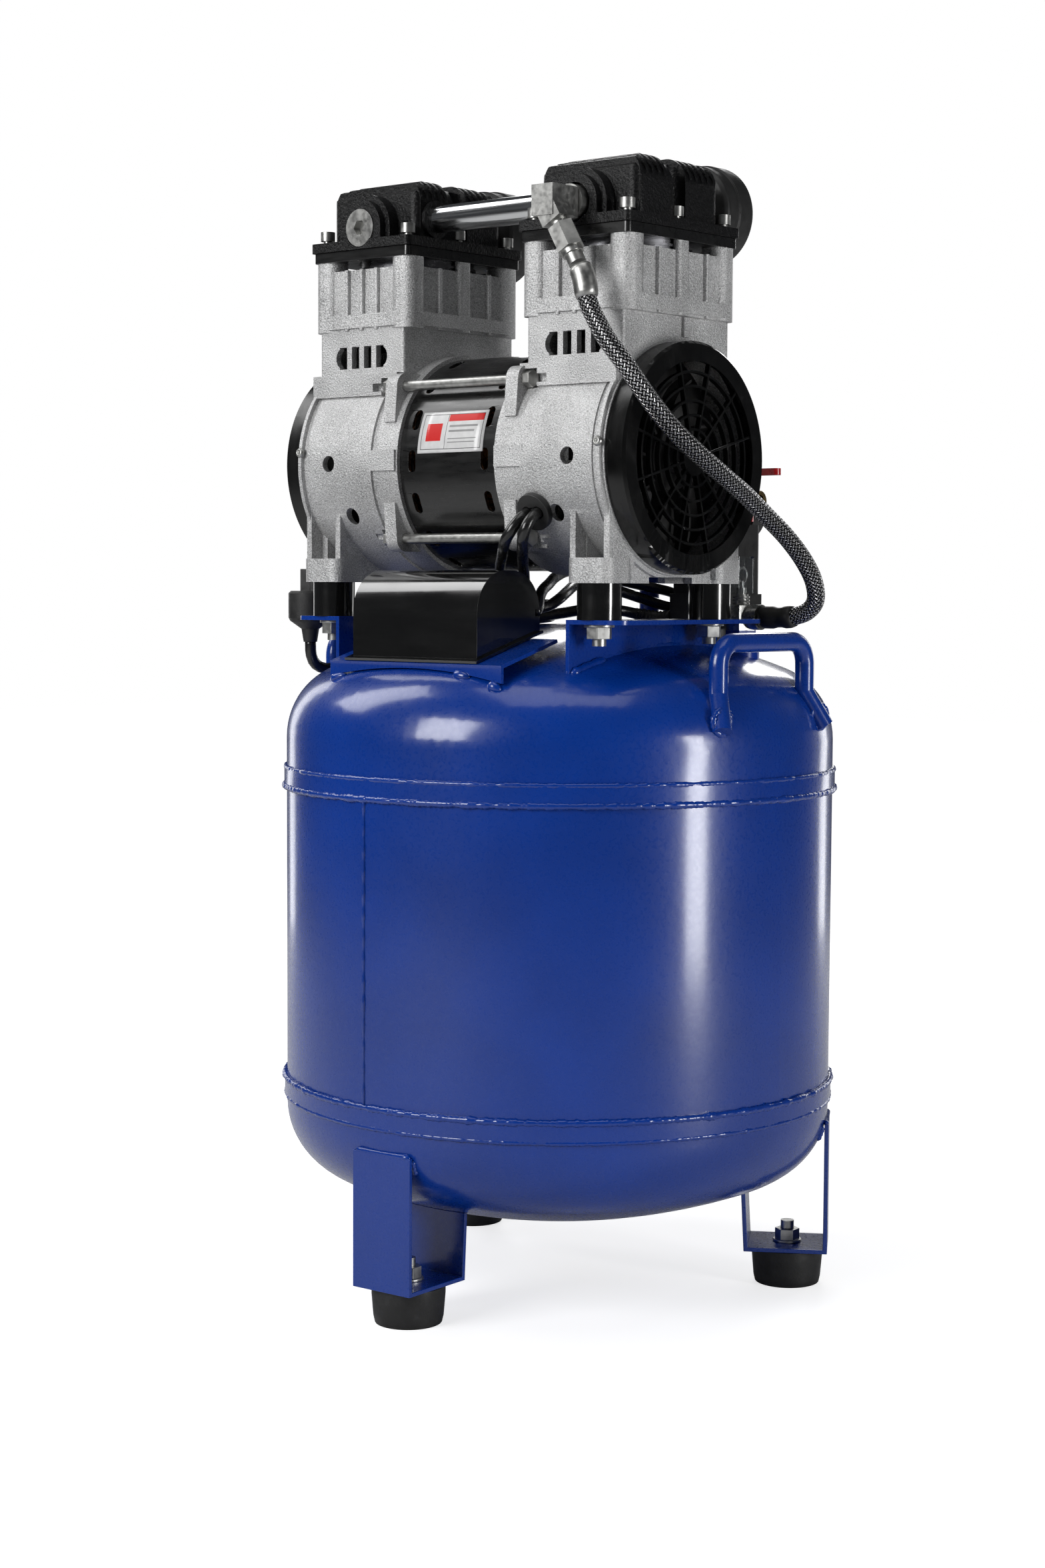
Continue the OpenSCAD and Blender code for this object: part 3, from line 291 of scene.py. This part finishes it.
def two_tone(name, z, metal):
    """Blue enamel below z, plated metal above it."""
    m = Mat(name, metal, 0.28, 1.0, Coat_Roughness=0.1)
    sep = m.node("ShaderNodeSeparateXYZ")
    m.link(m.co, sep.inputs[0])
    up = m.math("GREATER_THAN", sep.outputs[2], z)
    m.bump(m.noise(300, 3), 0.10, 0.0005)
    n = m.noise(150, 3)
    m.color(mix(m, up, (0.003, 0.036, 0.32), m.ramp(n, [(0.3, tuple(0.75 * c for c in metal)), (0.7, metal)])))
    m.link(up, m.b.inputs["Metallic"])
    m.rough(n, 0.20, 0.38)
    return m


BRAID_BUNDLES_AROUND, BRAID_BUNDLES_PER_METRE = 12.0, 340.0


def braid_material():
    """Stainless braid: two families of crossing wire bundles over and under each other, in UV space."""
    m = Mat("stainless_braid", (0.5, 0.5, 0.52), 0.28, 1.0)
    uv = m.nt.nodes.new("ShaderNodeTexCoord").outputs["UV"]
    sep = m.node("ShaderNodeSeparateXYZ")
    m.link(uv, sep.inputs[0])
    turns = m.math("MULTIPLY", sep.outputs[0], BRAID_BUNDLES_AROUND)
    rows = m.math("MULTIPLY", sep.outputs[1], BRAID_BUNDLES_PER_METRE)
    a, b = m.math("ADD", turns, rows), m.math("SUBTRACT", turns, rows)
    fa, fb = m.math("FRACT", a), m.math("FRACT", b)
    parity = m.math("MODULO", m.math("ABSOLUTE", m.math("ADD", m.math("FLOOR", a), m.math("FLOOR", b))), 2.0)
    ha = m.math("SINE", m.math("MULTIPLY", fa, math.pi))
    hb = m.math("SINE", m.math("MULTIPLY", fb, math.pi))
    top = m.math("ADD", m.math("MULTIPLY", parity, ha),
                 m.math("MULTIPLY", m.math("SUBTRACT", 1.0, parity), hb))
    wires = m.math("MULTIPLY", m.math("SINE", m.math("MULTIPLY", m.math(
        "ADD", m.math("MULTIPLY", parity, a), m.math("MULTIPLY", m.math("SUBTRACT", 1.0, parity), b)),
        10 * math.pi)), 0.12)
    h = m.math("ADD", top, wires)
    m.bump(h, 0.9, 0.0009)
    # Colour follows the bundles' height: painted shade, near black, in the gaps and down the bundles' sides, and
    # steel colour only on their crowns.
    m.color(m.ramp(top, [(0.50, (0.004, 0.004, 0.0045)), (0.74, (0.05, 0.05, 0.053)),
                         (0.96, (0.70, 0.70, 0.71))]))
    m.rough(top, 0.45, 0.22, 0.2, 0.9)
    return m


def label_material():
    """Plain label: white film with a red band, a red block, bars for text and thin lines; no lettering."""
    m = Mat("plain_label", (0.8, 0.8, 0.78), 0.35, Coat_Weight=0.4, Coat_Roughness=0.1)
    uv = m.nt.nodes.new("ShaderNodeTexCoord").outputs["UV"]
    sep = m.node("ShaderNodeSeparateXYZ")
    m.link(uv, sep.inputs[0])
    u, v = sep.outputs[0], sep.outputs[1]

    def box(u0, u1, v0, v1):
        sides = [m.math("GREATER_THAN", u, u0), m.math("LESS_THAN", u, u1),
                 m.math("GREATER_THAN", v, v0), m.math("LESS_THAN", v, v1)]
        return m.math("MULTIPLY", m.math("MULTIPLY", sides[0], sides[1]), m.math("MULTIPLY", sides[2], sides[3]))

    red = m.math("ADD", box(0.42, 0.955, 0.745, 0.925), box(0.11, 0.34, 0.28, 0.70), clamp=True)
    frame_line = m.math("SUBTRACT", box(0.04, 0.96, 0.08, 0.93), box(0.048, 0.952, 0.094, 0.916))
    bars = m.math("ADD", m.math("ADD", box(0.45, 0.88, 0.60, 0.65), box(0.45, 0.84, 0.48, 0.53)),
                  m.math("ADD", box(0.45, 0.88, 0.31, 0.335), box(0.45, 0.86, 0.225, 0.25)))
    dark = m.math("ADD", m.math("ADD", frame_line, box(0.405, 0.412, 0.08, 0.93)),
                  m.math("MULTIPLY", bars, 0.6), clamp=True)
    n = m.noise(220, 3)
    m.color(mix(m, dark, mix(m, red, m.ramp(n, [(0.3, 0.66), (0.7, 0.76)]), (0.66, 0.012, 0.010)),
                (0.05, 0.05, 0.05)))
    m.bump(m.noise(120, 2), 0.08, 0.0006)
    return m


M = build_materials()
SPECIAL = {"outlet_pipe": "brass_on_blue", "tank_tee": "zinc_on_blue", "gauge": "matte_black",
           "isolators": "gloss_black", "cover_left": "cover", "cover_right": "cover"}
for part in frame["record"]["subparts"]:
    mesh = NODES[part["node"]].data
    mat = M[SPECIAL.get(part["node"], part["material_slot"])].m
    for i in range(max(1, len(mesh.materials))):
        if i < len(mesh.materials):
            mesh.materials[i] = mat
        else:
            mesh.materials.append(mat)


# ---------- mesh helpers ----------

def mm(points):
    return [Vector(p) * MM for p in points]


def new_piece(name, verts, faces, mat, uvs=None, smooth=True, body="frame"):
    mesh = bpy.data.meshes.new(name)
    mesh.from_pydata([tuple(v) for v in verts], [], faces)
    mesh.update()
    if uvs:
        layer = mesh.uv_layers.new(name="UVMap")
        for loop in mesh.loops:
            layer.data[loop.index].uv = uvs[loop.vertex_index]
    for p in mesh.polygons:
        p.use_smooth = smooth
    obj = bpy.data.objects.new(name, mesh)
    bpy.context.scene.collection.objects.link(obj)
    mesh.materials.append(M[mat].m)
    if body:
        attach(obj, body)
    return obj


def spline(points, step=0.0025):
    """Catmull-Rom curve through the points, sampled every step metres."""
    p = [2 * points[0] - points[1], *points, 2 * points[-1] - points[-2]]
    out = [points[0].copy()]
    for i in range(1, len(p) - 2):
        n = max(1, round((p[i + 1] - p[i]).length / step))
        for k in range(1, n + 1):
            t = k / n
            out.append(0.5 * ((2 * p[i]) + (p[i + 1] - p[i - 1]) * t
                              + (2 * p[i - 1] - 5 * p[i] + 4 * p[i + 1] - p[i + 2]) * t * t
                              + (3 * p[i] - p[i - 1] - 3 * p[i + 1] + p[i + 2]) * t ** 3))
    return out


def length(points):
    return sum((b - a).length for a, b in zip(points, points[1:]))


def sweep(name, pts, radius, mat, n, closed=False):
    """Tube along pts. radius is a number or a function of the share of its length and the angle."""
    m = len(pts)
    s, verts, uvs, run, total = None, [], [], 0.0, length(pts)
    for i, c in enumerate(pts):
        a, b = (pts[i - 1], pts[(i + 1) % m]) if closed else (pts[max(i - 1, 0)], pts[min(i + 1, m - 1)])
        t = (b - a).normalized()
        s = s or Vector((0.3, 0.9, 0.2))
        s = (s - t * s.dot(t)).normalized()
        w = t.cross(s)
        if i:
            run += (c - pts[i - 1]).length
        for k in range(n + (0 if closed else 1)):
            q = 2 * math.pi * k / n
            r = radius(run / total, q) if callable(radius) else radius
            verts.append(c + r * (math.cos(q) * s + math.sin(q) * w))
            uvs.append((k / n, run))
    row = n + (0 if closed else 1)
    faces = []
    for i in range(m if closed else m - 1):
        j = (i + 1) % m
        for k in range(n):
            k2 = (k + 1) % n if closed else k + 1
            faces.append((i * row + k, i * row + k2, j * row + k2, j * row + k))
    if not closed:
        for end, c in ((0, pts[0]), (m - 1, pts[-1])):
            verts.append(c)
            uvs.append((0.5, 0.0))
            v = len(verts) - 1
            for k in range(n):
                f = (v, end * row + k + 1, end * row + k)
                faces.append(f if end == 0 else f[::-1])
    obj = new_piece(name, verts, faces, mat, uvs, body=None)
    obj.data.validate()
    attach(obj, "frame")
    return obj


# ---------- cords ----------

HOSE_DIAMETER, LEAD_DIAMETER, MAINS_DIAMETER = 0.0105, 0.0065, 0.007

# Routes in millimetres.
HOSE = [[103, -109, 594], [106, -109, 588], [109, -109, 575], [114, -108, 565],
    [121, -107, 554], [131, -103, 540], [140, -94, 522], [146, -81, 507], [150, -65, 495],
    [152, -45, 484], [152, -20, 472], [152, -2, 462], [154, 16, 450], [156, 30, 437.5],
    [156, 41, 425.5], [152.5, 49, 414.5], [144.5, 53, 407.5], [134, 54, 404.2],
    [123, 53, 403.4], [112, 52, 403.4]]
LEADS = {
    "lead_to_cap": [[61.2, -101, 462.8], [61.2, -107, 459.8], [60, -112, 455], [56, -113.5, 449],
        [50, -110, 443.5], [43, -103, 439], [34, -94, 435.5], [25, -84, 431], [17, -73, 424],
        [10, -63, 415], [4, -57, 406], [-1, -57, 399], [-3, -64, 396.5], [-3, -77, 396.5]],
    "lead_to_switch": [[68.8, -101, 462.8], [68.8, -107, 459.8], [68, -111.5, 454.5], [65, -111, 448],
        [60, -105.5, 442], [53, -97, 437], [45, -87, 432], [37, -77, 426], [30.5, -69, 418],
        [26, -61, 411], [25.5, -52, 408.5], [27.5, -43, 410], [27, -33, 414], [22, -20, 418],
        [14, -2, 422], [12, 16, 422.5], [16, 34, 419], [24, 49, 414], [33, 61, 409.5], [42, 68, 407]],
    "lead_cap_to_switch": [[45, -77, 406], [42, -70, 409], [36, -62, 414.5], [30, -52, 419],
        [24.5, -40, 422.5], [18.5, -28, 426], [13, -14, 429], [8, 0, 430.5], [6, 14, 430], [9, 30, 427.5],
        [17, 43, 424], [27, 53, 421], [34, 63, 418.5], [38, 72, 415], [42, 80, 412]],
}
CORD_A = [[42, 56, 401.5], [35, 56, 401.5], [28, 53.5, 402.5], [21.5, 48, 404.5], [16, 40, 406.5],
    [12, 30, 407.5], [9, 19, 407.4], [6.5, 8, 406.6], [4, -3, 405]]
CORD_B = [[-82, -4, 400.6], [-82, 8, 397.8], [-82.2, 20, 394.6], [-82.6, 31, 392.6], [-83.4, 42, 391],
    [-86, 53, 388.5], [-91.5, 62, 385.5], [-100, 69, 382], [-111, 71.5, 378.5], [-122, 68.5, 375.5],
    [-131, 60, 373], [-136, 47, 373.5], [-137, 32, 375], [-135, 15, 377.5], [-133, -2, 378.5],
    [-132.5, -17, 378], [-134, -30, 376.5], [-137, -41, 373.5], [-140.5, -51, 370],
    [-143, -60, 369.5], [-144, -66.5, 373.5], [-143.8, -69.5, 380], [-143.5, -70, 388]]


def coil_points():
    """Five and a half turns in two layers on the dome, clockwise from above, from its +X side to its -X side."""
    cx, cy, cz = -40.0, -16.0, 396.05
    outer, inner, pitch, lift = 42.2, 24.45, 7.1, 3.1
    turns, climb_from, climb_to, steps = 5.5, 2.5, 3.0, 24
    yaw, tilt = math.atan2(cy, cx), math.radians(6.7)
    turn = Matrix.Rotation(yaw, 3, "Z") @ Matrix.Rotation(tilt, 3, "Y")
    out = []
    for i in range(int(turns * steps) + 1):
        t = i / steps
        if t <= climb_from:
            r, up = outer - pitch * t, 0.0
        elif t < climb_to:
            k = (t - climb_from) / (climb_to - climb_from)
            r, up = inner - 1.2 * math.sin(math.pi * k), pitch * (0.5 - 0.5 * math.cos(math.pi * k))
        else:
            r, up = outer - pitch * (turns - t), pitch
        q = -2 * math.pi * t - yaw
        out.append(Vector((cx, cy, cz)) + turn @ Vector((r * math.cos(q), r * math.sin(q), lift + up)))
    return [v * MM for v in out]


def ferrule_radius(s, q):
    """Crimped sleeve: grooves in its middle and eased ends."""
    groove = 0.0007 if 0.25 < s < 0.75 and (s * 12) % 2 > 1 else 0
    return 0.0066 - groove - (0.0006 if s < 0.04 or s > 0.95 else 0)


def relief_radius(s, q):
    """Ribbed strain relief that tapers towards the cord."""
    return 0.0056 - 0.0018 * s - (0.0007 if (s * 9) % 1 > 0.55 else 0)


def make_cords():
    path = spline(mm(HOSE))
    hose = sweep("hose_braid", path, HOSE_DIAMETER / 2, "braid", 24)
    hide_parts("hose")
    for end, name in ((path[:8], "ferrule_top"), (path[::-1][:9], "ferrule_low")):
        sweep(name, end, ferrule_radius, "zinc" if name == "ferrule_top" else "matte_black", 24)
    for name, pts in LEADS.items():
        p = spline(mm(pts))
        lead = sweep(name, p, LEAD_DIAMETER / 2, "cable", 14)
        if name == "lead_to_cap":
            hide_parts("motor_leads")
    p = spline(mm(CORD_A)) + spline(coil_points(), 0.004) + spline(mm(CORD_B))
    p = spline([p[0], *p[3:-3:3], p[-1]], 0.003)
    cord = sweep("mains_cord", p, MAINS_DIAMETER / 2, "cable", 14)
    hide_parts("power_cord", "cord_coil")
    relief = spline(mm(CORD_A[:5]), 0.001)
    sweep("cord_relief", relief[:26], relief_radius, "matte_black", 20)


make_cords()


# ---------- softened edges of the CAD pieces ----------

def soften(names, width, angle=32, segments=2):
    """Smooth-shaded bevels on the sharp edges, by modifiers only."""
    for name in names:
        o = NODES[name]
        for p in o.data.polygons:
            p.use_smooth = True
        if o.data.attributes.get("custom_normal"):
            o.data.attributes.remove(o.data.attributes["custom_normal"])
        w = o.modifiers.new("join", "WELD")
        w.merge_threshold = 0.00002
        b = o.modifiers.new("edges", "BEVEL")
        b.width = width
        b.limit_method = "ANGLE"
        b.angle_limit = math.radians(angle)
        b.segments = segments
        b.use_clamp_overlap = True
        b.harden_normals = False
        n = o.modifiers.new("normals", "WEIGHTED_NORMAL")
        n.keep_sharp = False
        n.weight = 60


soften(["shell_left", "shell_right"], 0.0011)
soften(["cylinder_left", "cylinder_right", "head_left", "head_right"], 0.0009)
soften(["capacitor_cover"], 0.0035, 40, 4)
soften(["leg_front", "leg_right", "leg_rear", "bracket_left", "bracket_right", "capacitor_tray"], 0.0006)
soften(["feet", "isolators", "plug", "pressure_switch", "cable_gland", "outlet_lever", "switch_knob",
        "filter_left", "filter_right", "cover_left", "cover_right", "fans"], 0.0006)
soften(["m8_nuts", "m8_studs", "tie_rods", "head_screws", "head_plug", "hose_elbow", "tank_tee", "outlet_pipe",
        "gauge", "valve_plates", "stator_band", "valve_guard", "drain_valve", "drain_screw", "safety_valve",
        "dome_top", "dome_bottom"], 0.0003)


# ---------- welds ----------

def bead(name, pts, r, seed, closed=False):
    """Irregular weld bead along pts, with ripples where the puddle froze."""
    total = length(pts) + ((pts[0] - pts[-1]).length if closed else 0)
    ripples = max(3, round(total / 0.0023))
    off = Vector((seed * 7.3, seed * 3.1, 0.0))

    def rad(s, q):
        a = 2 * math.pi * s
        wob = noise.noise(off + Vector((total * 40 * s if not closed else 30 * math.cos(a),
                                        0 if not closed else 30 * math.sin(a), 0.0)))
        end = 1.0 if closed else min(1.0, (min(s, 1 - s) * total / r + 0.35))
        return r * end * (1 + 0.45 * wob + 0.12 * math.sin(2 * math.pi * ripples * s + 0.6 * math.cos(q)))
    return sweep(name, pts, rad, "tank_blue", 10, closed)


def ring_points(r, z, n):
    return [Vector((r * math.cos(2 * math.pi * i / n), r * math.sin(2 * math.pi * i / n), z)) for i in range(n)]


def dome_z(x, y):
    """Height of the top dome's outside in millimetres."""
    r = math.hypot(x, y)
    if r <= CROWN_EDGE:
        return CROWN_BASE_Z - CROWN_DROP + math.sqrt(CROWN_RADIUS ** 2 - r * r)
    return KNUCKLE_TOP_Z + math.sqrt(max(0, KNUCKLE_RADIUS ** 2 - (r - KNUCKLE_AT) ** 2))


def along(a, b):
    """Points about 3 mm apart on the top dome, above the line from a to b."""
    n = max(2, round(math.dist(a, b) / 3.0))
    out = []
    for i in range(n + 1):
        x, y = (a[k] + (b[k] - a[k]) * i / n for k in (0, 1))
        out.append(Vector((x, y, dome_z(x, y))) * MM)
    return out


def make_welds():
    for name, r, z, w, seed in (("weld_top_low", 0.1658, 0.3014, 0.0019, 1),
                                ("weld_top_high", 0.1654, 0.3126, 0.0014, 2),
                                ("weld_low_high", 0.1658, 0.1262, 0.0019, 3),
                                ("weld_low_low", 0.1654, 0.1150, 0.0014, 4)):
        bead(name, ring_points(r, z, 760), w, seed, True)
    a = math.radians(268)
    n = 90
    bead("weld_long", [Vector((0.1648 * math.cos(a), 0.1648 * math.sin(a), 0.1262 + 0.1755 * i / n))
                       for i in range(n + 1)], 0.0013, 5)
    for s, side in ((1, "r"), (-1, "l")):
        x = s * 88.6
        bead(f"weld_bracket_{side}", along((x, -101), (x, 37)), 0.0022, 6 + s)
        bead(f"weld_bracket_end_{side}", along((x + 3 * s, -100), (x + 3 * s, -70)), 0.0024, 9 + s)
        for j in (-1, 1):
            c = Vector((s * 156.6, j * 47.6, 346.5)) * MM
            pts = [c + Vector((0.0012 * s * math.cos(q), 0.0062 * math.cos(q), 0.0068 * math.sin(q)))
                   for q in (2 * math.pi * i / 40 for i in range(40))]
            bead(f"weld_handle_{side}{'b' if j > 0 else 'f'}", pts, 0.0019, 12 + s + 2 * j, True)
    for i, (x0, x1) in enumerate(((-62, -50), (34, 46), (60, 69))):
        bead(f"weld_tray_{i}", along((x0, -133.9), (x1, -133.9)), 0.0030, 20 + i)
    for i, deg in enumerate(LEG_DEGREES):
        turn = Matrix.Rotation(math.radians(deg), 3, "Z")
        top = [turn @ Vector((164.4, -20 + 40 * k / 16, 101.2)) * MM for k in range(17)]
        bead(f"weld_leg_top_{i}", top, 0.0018, 30 + i)
        for j in (-1, 1):
            side = []
            for k in range(13):
                x, y = 162.5 - 3.0 * k / 12, 20.6 * j
                out = max(0, math.hypot(x, y) - KNUCKLE_AT)
                z = KNUCKLE_LOW_Z - math.sqrt(max(0, KNUCKLE_RADIUS ** 2 - out ** 2))
                side.append(turn @ Vector((x, y, z)) * MM)
            bead(f"weld_leg_side_{i}{'b' if j > 0 else 'a'}", side, 0.0015, 36 + 2 * i + j)


make_welds()


# ---------- small pieces that the photo shows ----------

def on_band(a, x, r):
    """Point on a cylinder of radius r about the motor's axis, a degrees from straight up towards -Y."""
    q = math.radians(a)
    return Vector((x, MOTOR_Y - r * math.sin(q), MOTOR_Z + r * math.cos(q)))


def make_label():
    """Film bent round the stator band: n cells down and k cells across."""
    n, k = 24, 6
    verts, uvs, faces = [], [], []
    for j in range(n + 1):
        for i in range(k + 1):
            verts.append(on_band(86.1 - 22.4 * j / n, -0.0235 + 0.0503 * i / k, 0.06312))
            uvs.append((i / k, j / n))
    for j in range(n):
        for i in range(k):
            v = j * (k + 1) + i
            faces.append((v, v + 1, v + k + 2, v + k + 1))
    obj = new_piece("plain_label", verts, faces, "label", uvs, body=None)
    s = obj.modifiers.new("film", "SOLIDIFY")
    s.thickness = 0.0002
    s.offset = 1
    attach(obj, "frame")


def lathe(name, profile, mat, origin, axis, n):
    """Turned piece: profile of (radius, height) pairs in millimetres about axis from origin."""
    axis = Vector(axis).normalized()
    side = axis.orthogonal().normalized()
    third = axis.cross(side)
    verts, faces = [], []
    for r, h in profile:
        for i in range(n):
            q = 2 * math.pi * i / n
            verts.append(Vector(origin) + MM * (h * axis + r * (math.cos(q) * side + math.sin(q) * third)))
    for j in range(len(profile) - 1):
        for i in range(n):
            a, b = j * n + i, j * n + (i + 1) % n
            faces.append((a, b, b + n, a + n))
    new_piece(name, verts, faces, mat)


def make_screws():
    """Three domed screws on the rim of each end shell."""
    head = [(0.01, 1.9), (0.6, 1.9), (0.7, 1.0), (1.1, 1.0), (1.2, 1.75), (2.2, 1.3), (2.9, 0.3), (2.9, -0.6)]
    for s, side in ((1, "r"), (-1, "l")):
        for i, a in enumerate((84, 204, 324)):
            p = on_band(a, s * 0.1146, 0.0685)
            lathe(f"rim_screw_{side}{i}", head, "zinc", p, p - on_band(a, s * 0.1146, 0.0), 20)


def make_gauge_face():
    c = Vector((0.056, 0.1045, 0.467))
    lathe("gauge_card", [(1.2, 0.0), (16.3, 0.0), (16.3, 0.5)], "dial", c, (0, 1, 0), 64)
    lathe("gauge_lens", [(0.01, 4.0), (9, 3.8), (14, 3.4), (16.4, 2.8), (16.4, 2.2)], "clear",
          c + Vector((0, 0.0004, 0)), (0, 1, 0), 64)
    box_faces = [(0, 1, 2, 3), (7, 6, 5, 4), (0, 4, 5, 1), (1, 5, 6, 2), (2, 6, 7, 3), (3, 7, 4, 0)]
    for i in range(31):
        a = math.radians(-135 + 9 * i)
        big = i % 5 == 0
        d = Vector((math.sin(a), 0, math.cos(a)))
        t = Vector((math.cos(a), 0, -math.sin(a)))
        r0, r1, w = (0.0112 if big else 0.0128), 0.0148, (0.00035 if big else 0.00018)
        v = [c + Vector((0, 0.0002, 0)) + r * d + k * w * t for r, k in ((r0, -1), (r0, 1), (r1, 1), (r1, -1))]
        v += [p + Vector((0, 0.00015, 0)) for p in v]
        new_piece(f"gauge_tick_{i}", v, box_faces, "matte_black", smooth=False)


def make_shade_rings():
    """Thin black ring inside each end shell, behind its fan: a dark sheet put in as painted shade, keeps daylight
    out of the shell's holes.
    """
    for s, side in ((1, "right"), (-1, "left")):
        lathe(f"shade_ring_{side}", [(24, 0), (62.9, 0), (62.9, 0.8), (24, 0.8), (24, 0)], "matte_black",
              (s * 0.0974, MOTOR_Y, MOTOR_Z), (s, 0, 0), 64)


make_label()
make_shade_rings()
make_screws()
make_gauge_face()


# ---------- floor and light ----------

def area(name, loc, target, size, power):
    light = bpy.data.lights.new(name, "AREA")
    light.shape = "RECTANGLE"
    light.size, light.size_y = size
    light.energy = power
    obj = bpy.data.objects.new(name, light)
    bpy.context.scene.collection.objects.link(obj)
    obj.location = loc
    obj.rotation_euler = (Vector(target) - Vector(loc)).to_track_quat("-Z", "Y").to_euler()


def around(deg, dist, z):
    """Point at deg to the right of the camera's direction, as seen by the camera."""
    a = math.radians(CAMERA_AZIMUTH + deg)
    return (dist * math.sin(a), -dist * math.cos(a), z)


def make_stage():
    mesh = bpy.data.meshes.new("floor")
    mesh.from_pydata([(-6, -6, 0), (6, -6, 0), (6, 6, 0), (-6, 6, 0)], [], [(0, 1, 2, 3)])
    floor = bpy.data.objects.new("floor", mesh)
    bpy.context.scene.collection.objects.link(floor)
    m = Mat("pale_floor", (0.7, 0.7, 0.7), 0.7)
    m.color(m.ramp(m.noise(3, 2), [(0.3, 0.60), (0.7, 0.64)]))
    glow, seen, join, far = (m.node(k) for k in ("ShaderNodeEmission", "ShaderNodeLightPath",
                                                 "ShaderNodeAddShader", "ShaderNodeVectorMath"))
    far.operation = "LENGTH"
    m.link(m.co, far.inputs[0])
    white = m.span(far.outputs["Value"], 0.35, 1.5, 0.72, 1.05)
    m.link(m.math("MULTIPLY", seen.outputs["Is Camera Ray"], white), glow.inputs["Strength"])
    m.link(m.b.outputs[0], join.inputs[0])
    m.link(glow.outputs[0], join.inputs[1])
    m.link(join.outputs[0], m.nt.nodes["Material Output"].inputs[0])
    mesh.materials.append(m.m)
    world = bpy.data.worlds.new("studio")
    bpy.context.scene.world = world
    world.use_nodes = True
    nt = world.node_tree
    dim, lit = nt.nodes["Background"], nt.nodes.new("ShaderNodeBackground")
    dim.inputs[0].default_value = (0.9, 0.94, 1.0, 1)
    dim.inputs[1].default_value = 0.05
    lit.inputs[0].default_value = (1, 1, 1, 1)
    lit.inputs[1].default_value = 1.0
    join, path = nt.nodes.new("ShaderNodeMixShader"), nt.nodes.new("ShaderNodeLightPath")
    nt.links.new(path.outputs["Is Camera Ray"], join.inputs[0])
    nt.links.new(dim.outputs[0], join.inputs[1])
    nt.links.new(lit.outputs[0], join.inputs[2])
    nt.links.new(join.outputs[0], nt.nodes["World Output"].inputs[0])
    bpy.context.scene.view_settings.view_transform = "Standard"
    area("key_left", around(-48, 1.8, 1.1), (0, 0, 0.45), (0.8, 0.9), 22)
    area("strip_right", around(55, 1.6, 0.30), (0, 0, 0.28), (0.25, 0.9), 11.5)
    area("left_high", (-1.2, -0.45, 1.5), (0, -0.05, 0.42), (0.6, 1.0), 8)
    area("edge_left", around(-146, 1.7, 0.5), (0, 0, 0.35), (0.3, 1.2), 2.2)
    area("edge_right", around(140, 1.7, 0.5), (0, 0, 0.35), (0.3, 1.2), 3)
    area("back", (-0.9, 1.5, 1.2), (0, 0, 0.4), (0.8, 0.8), 9)
    area("top", (0.2, -0.2, 2.1), (0, 0, 0.5), (1.2, 1.2), 6)


make_stage()
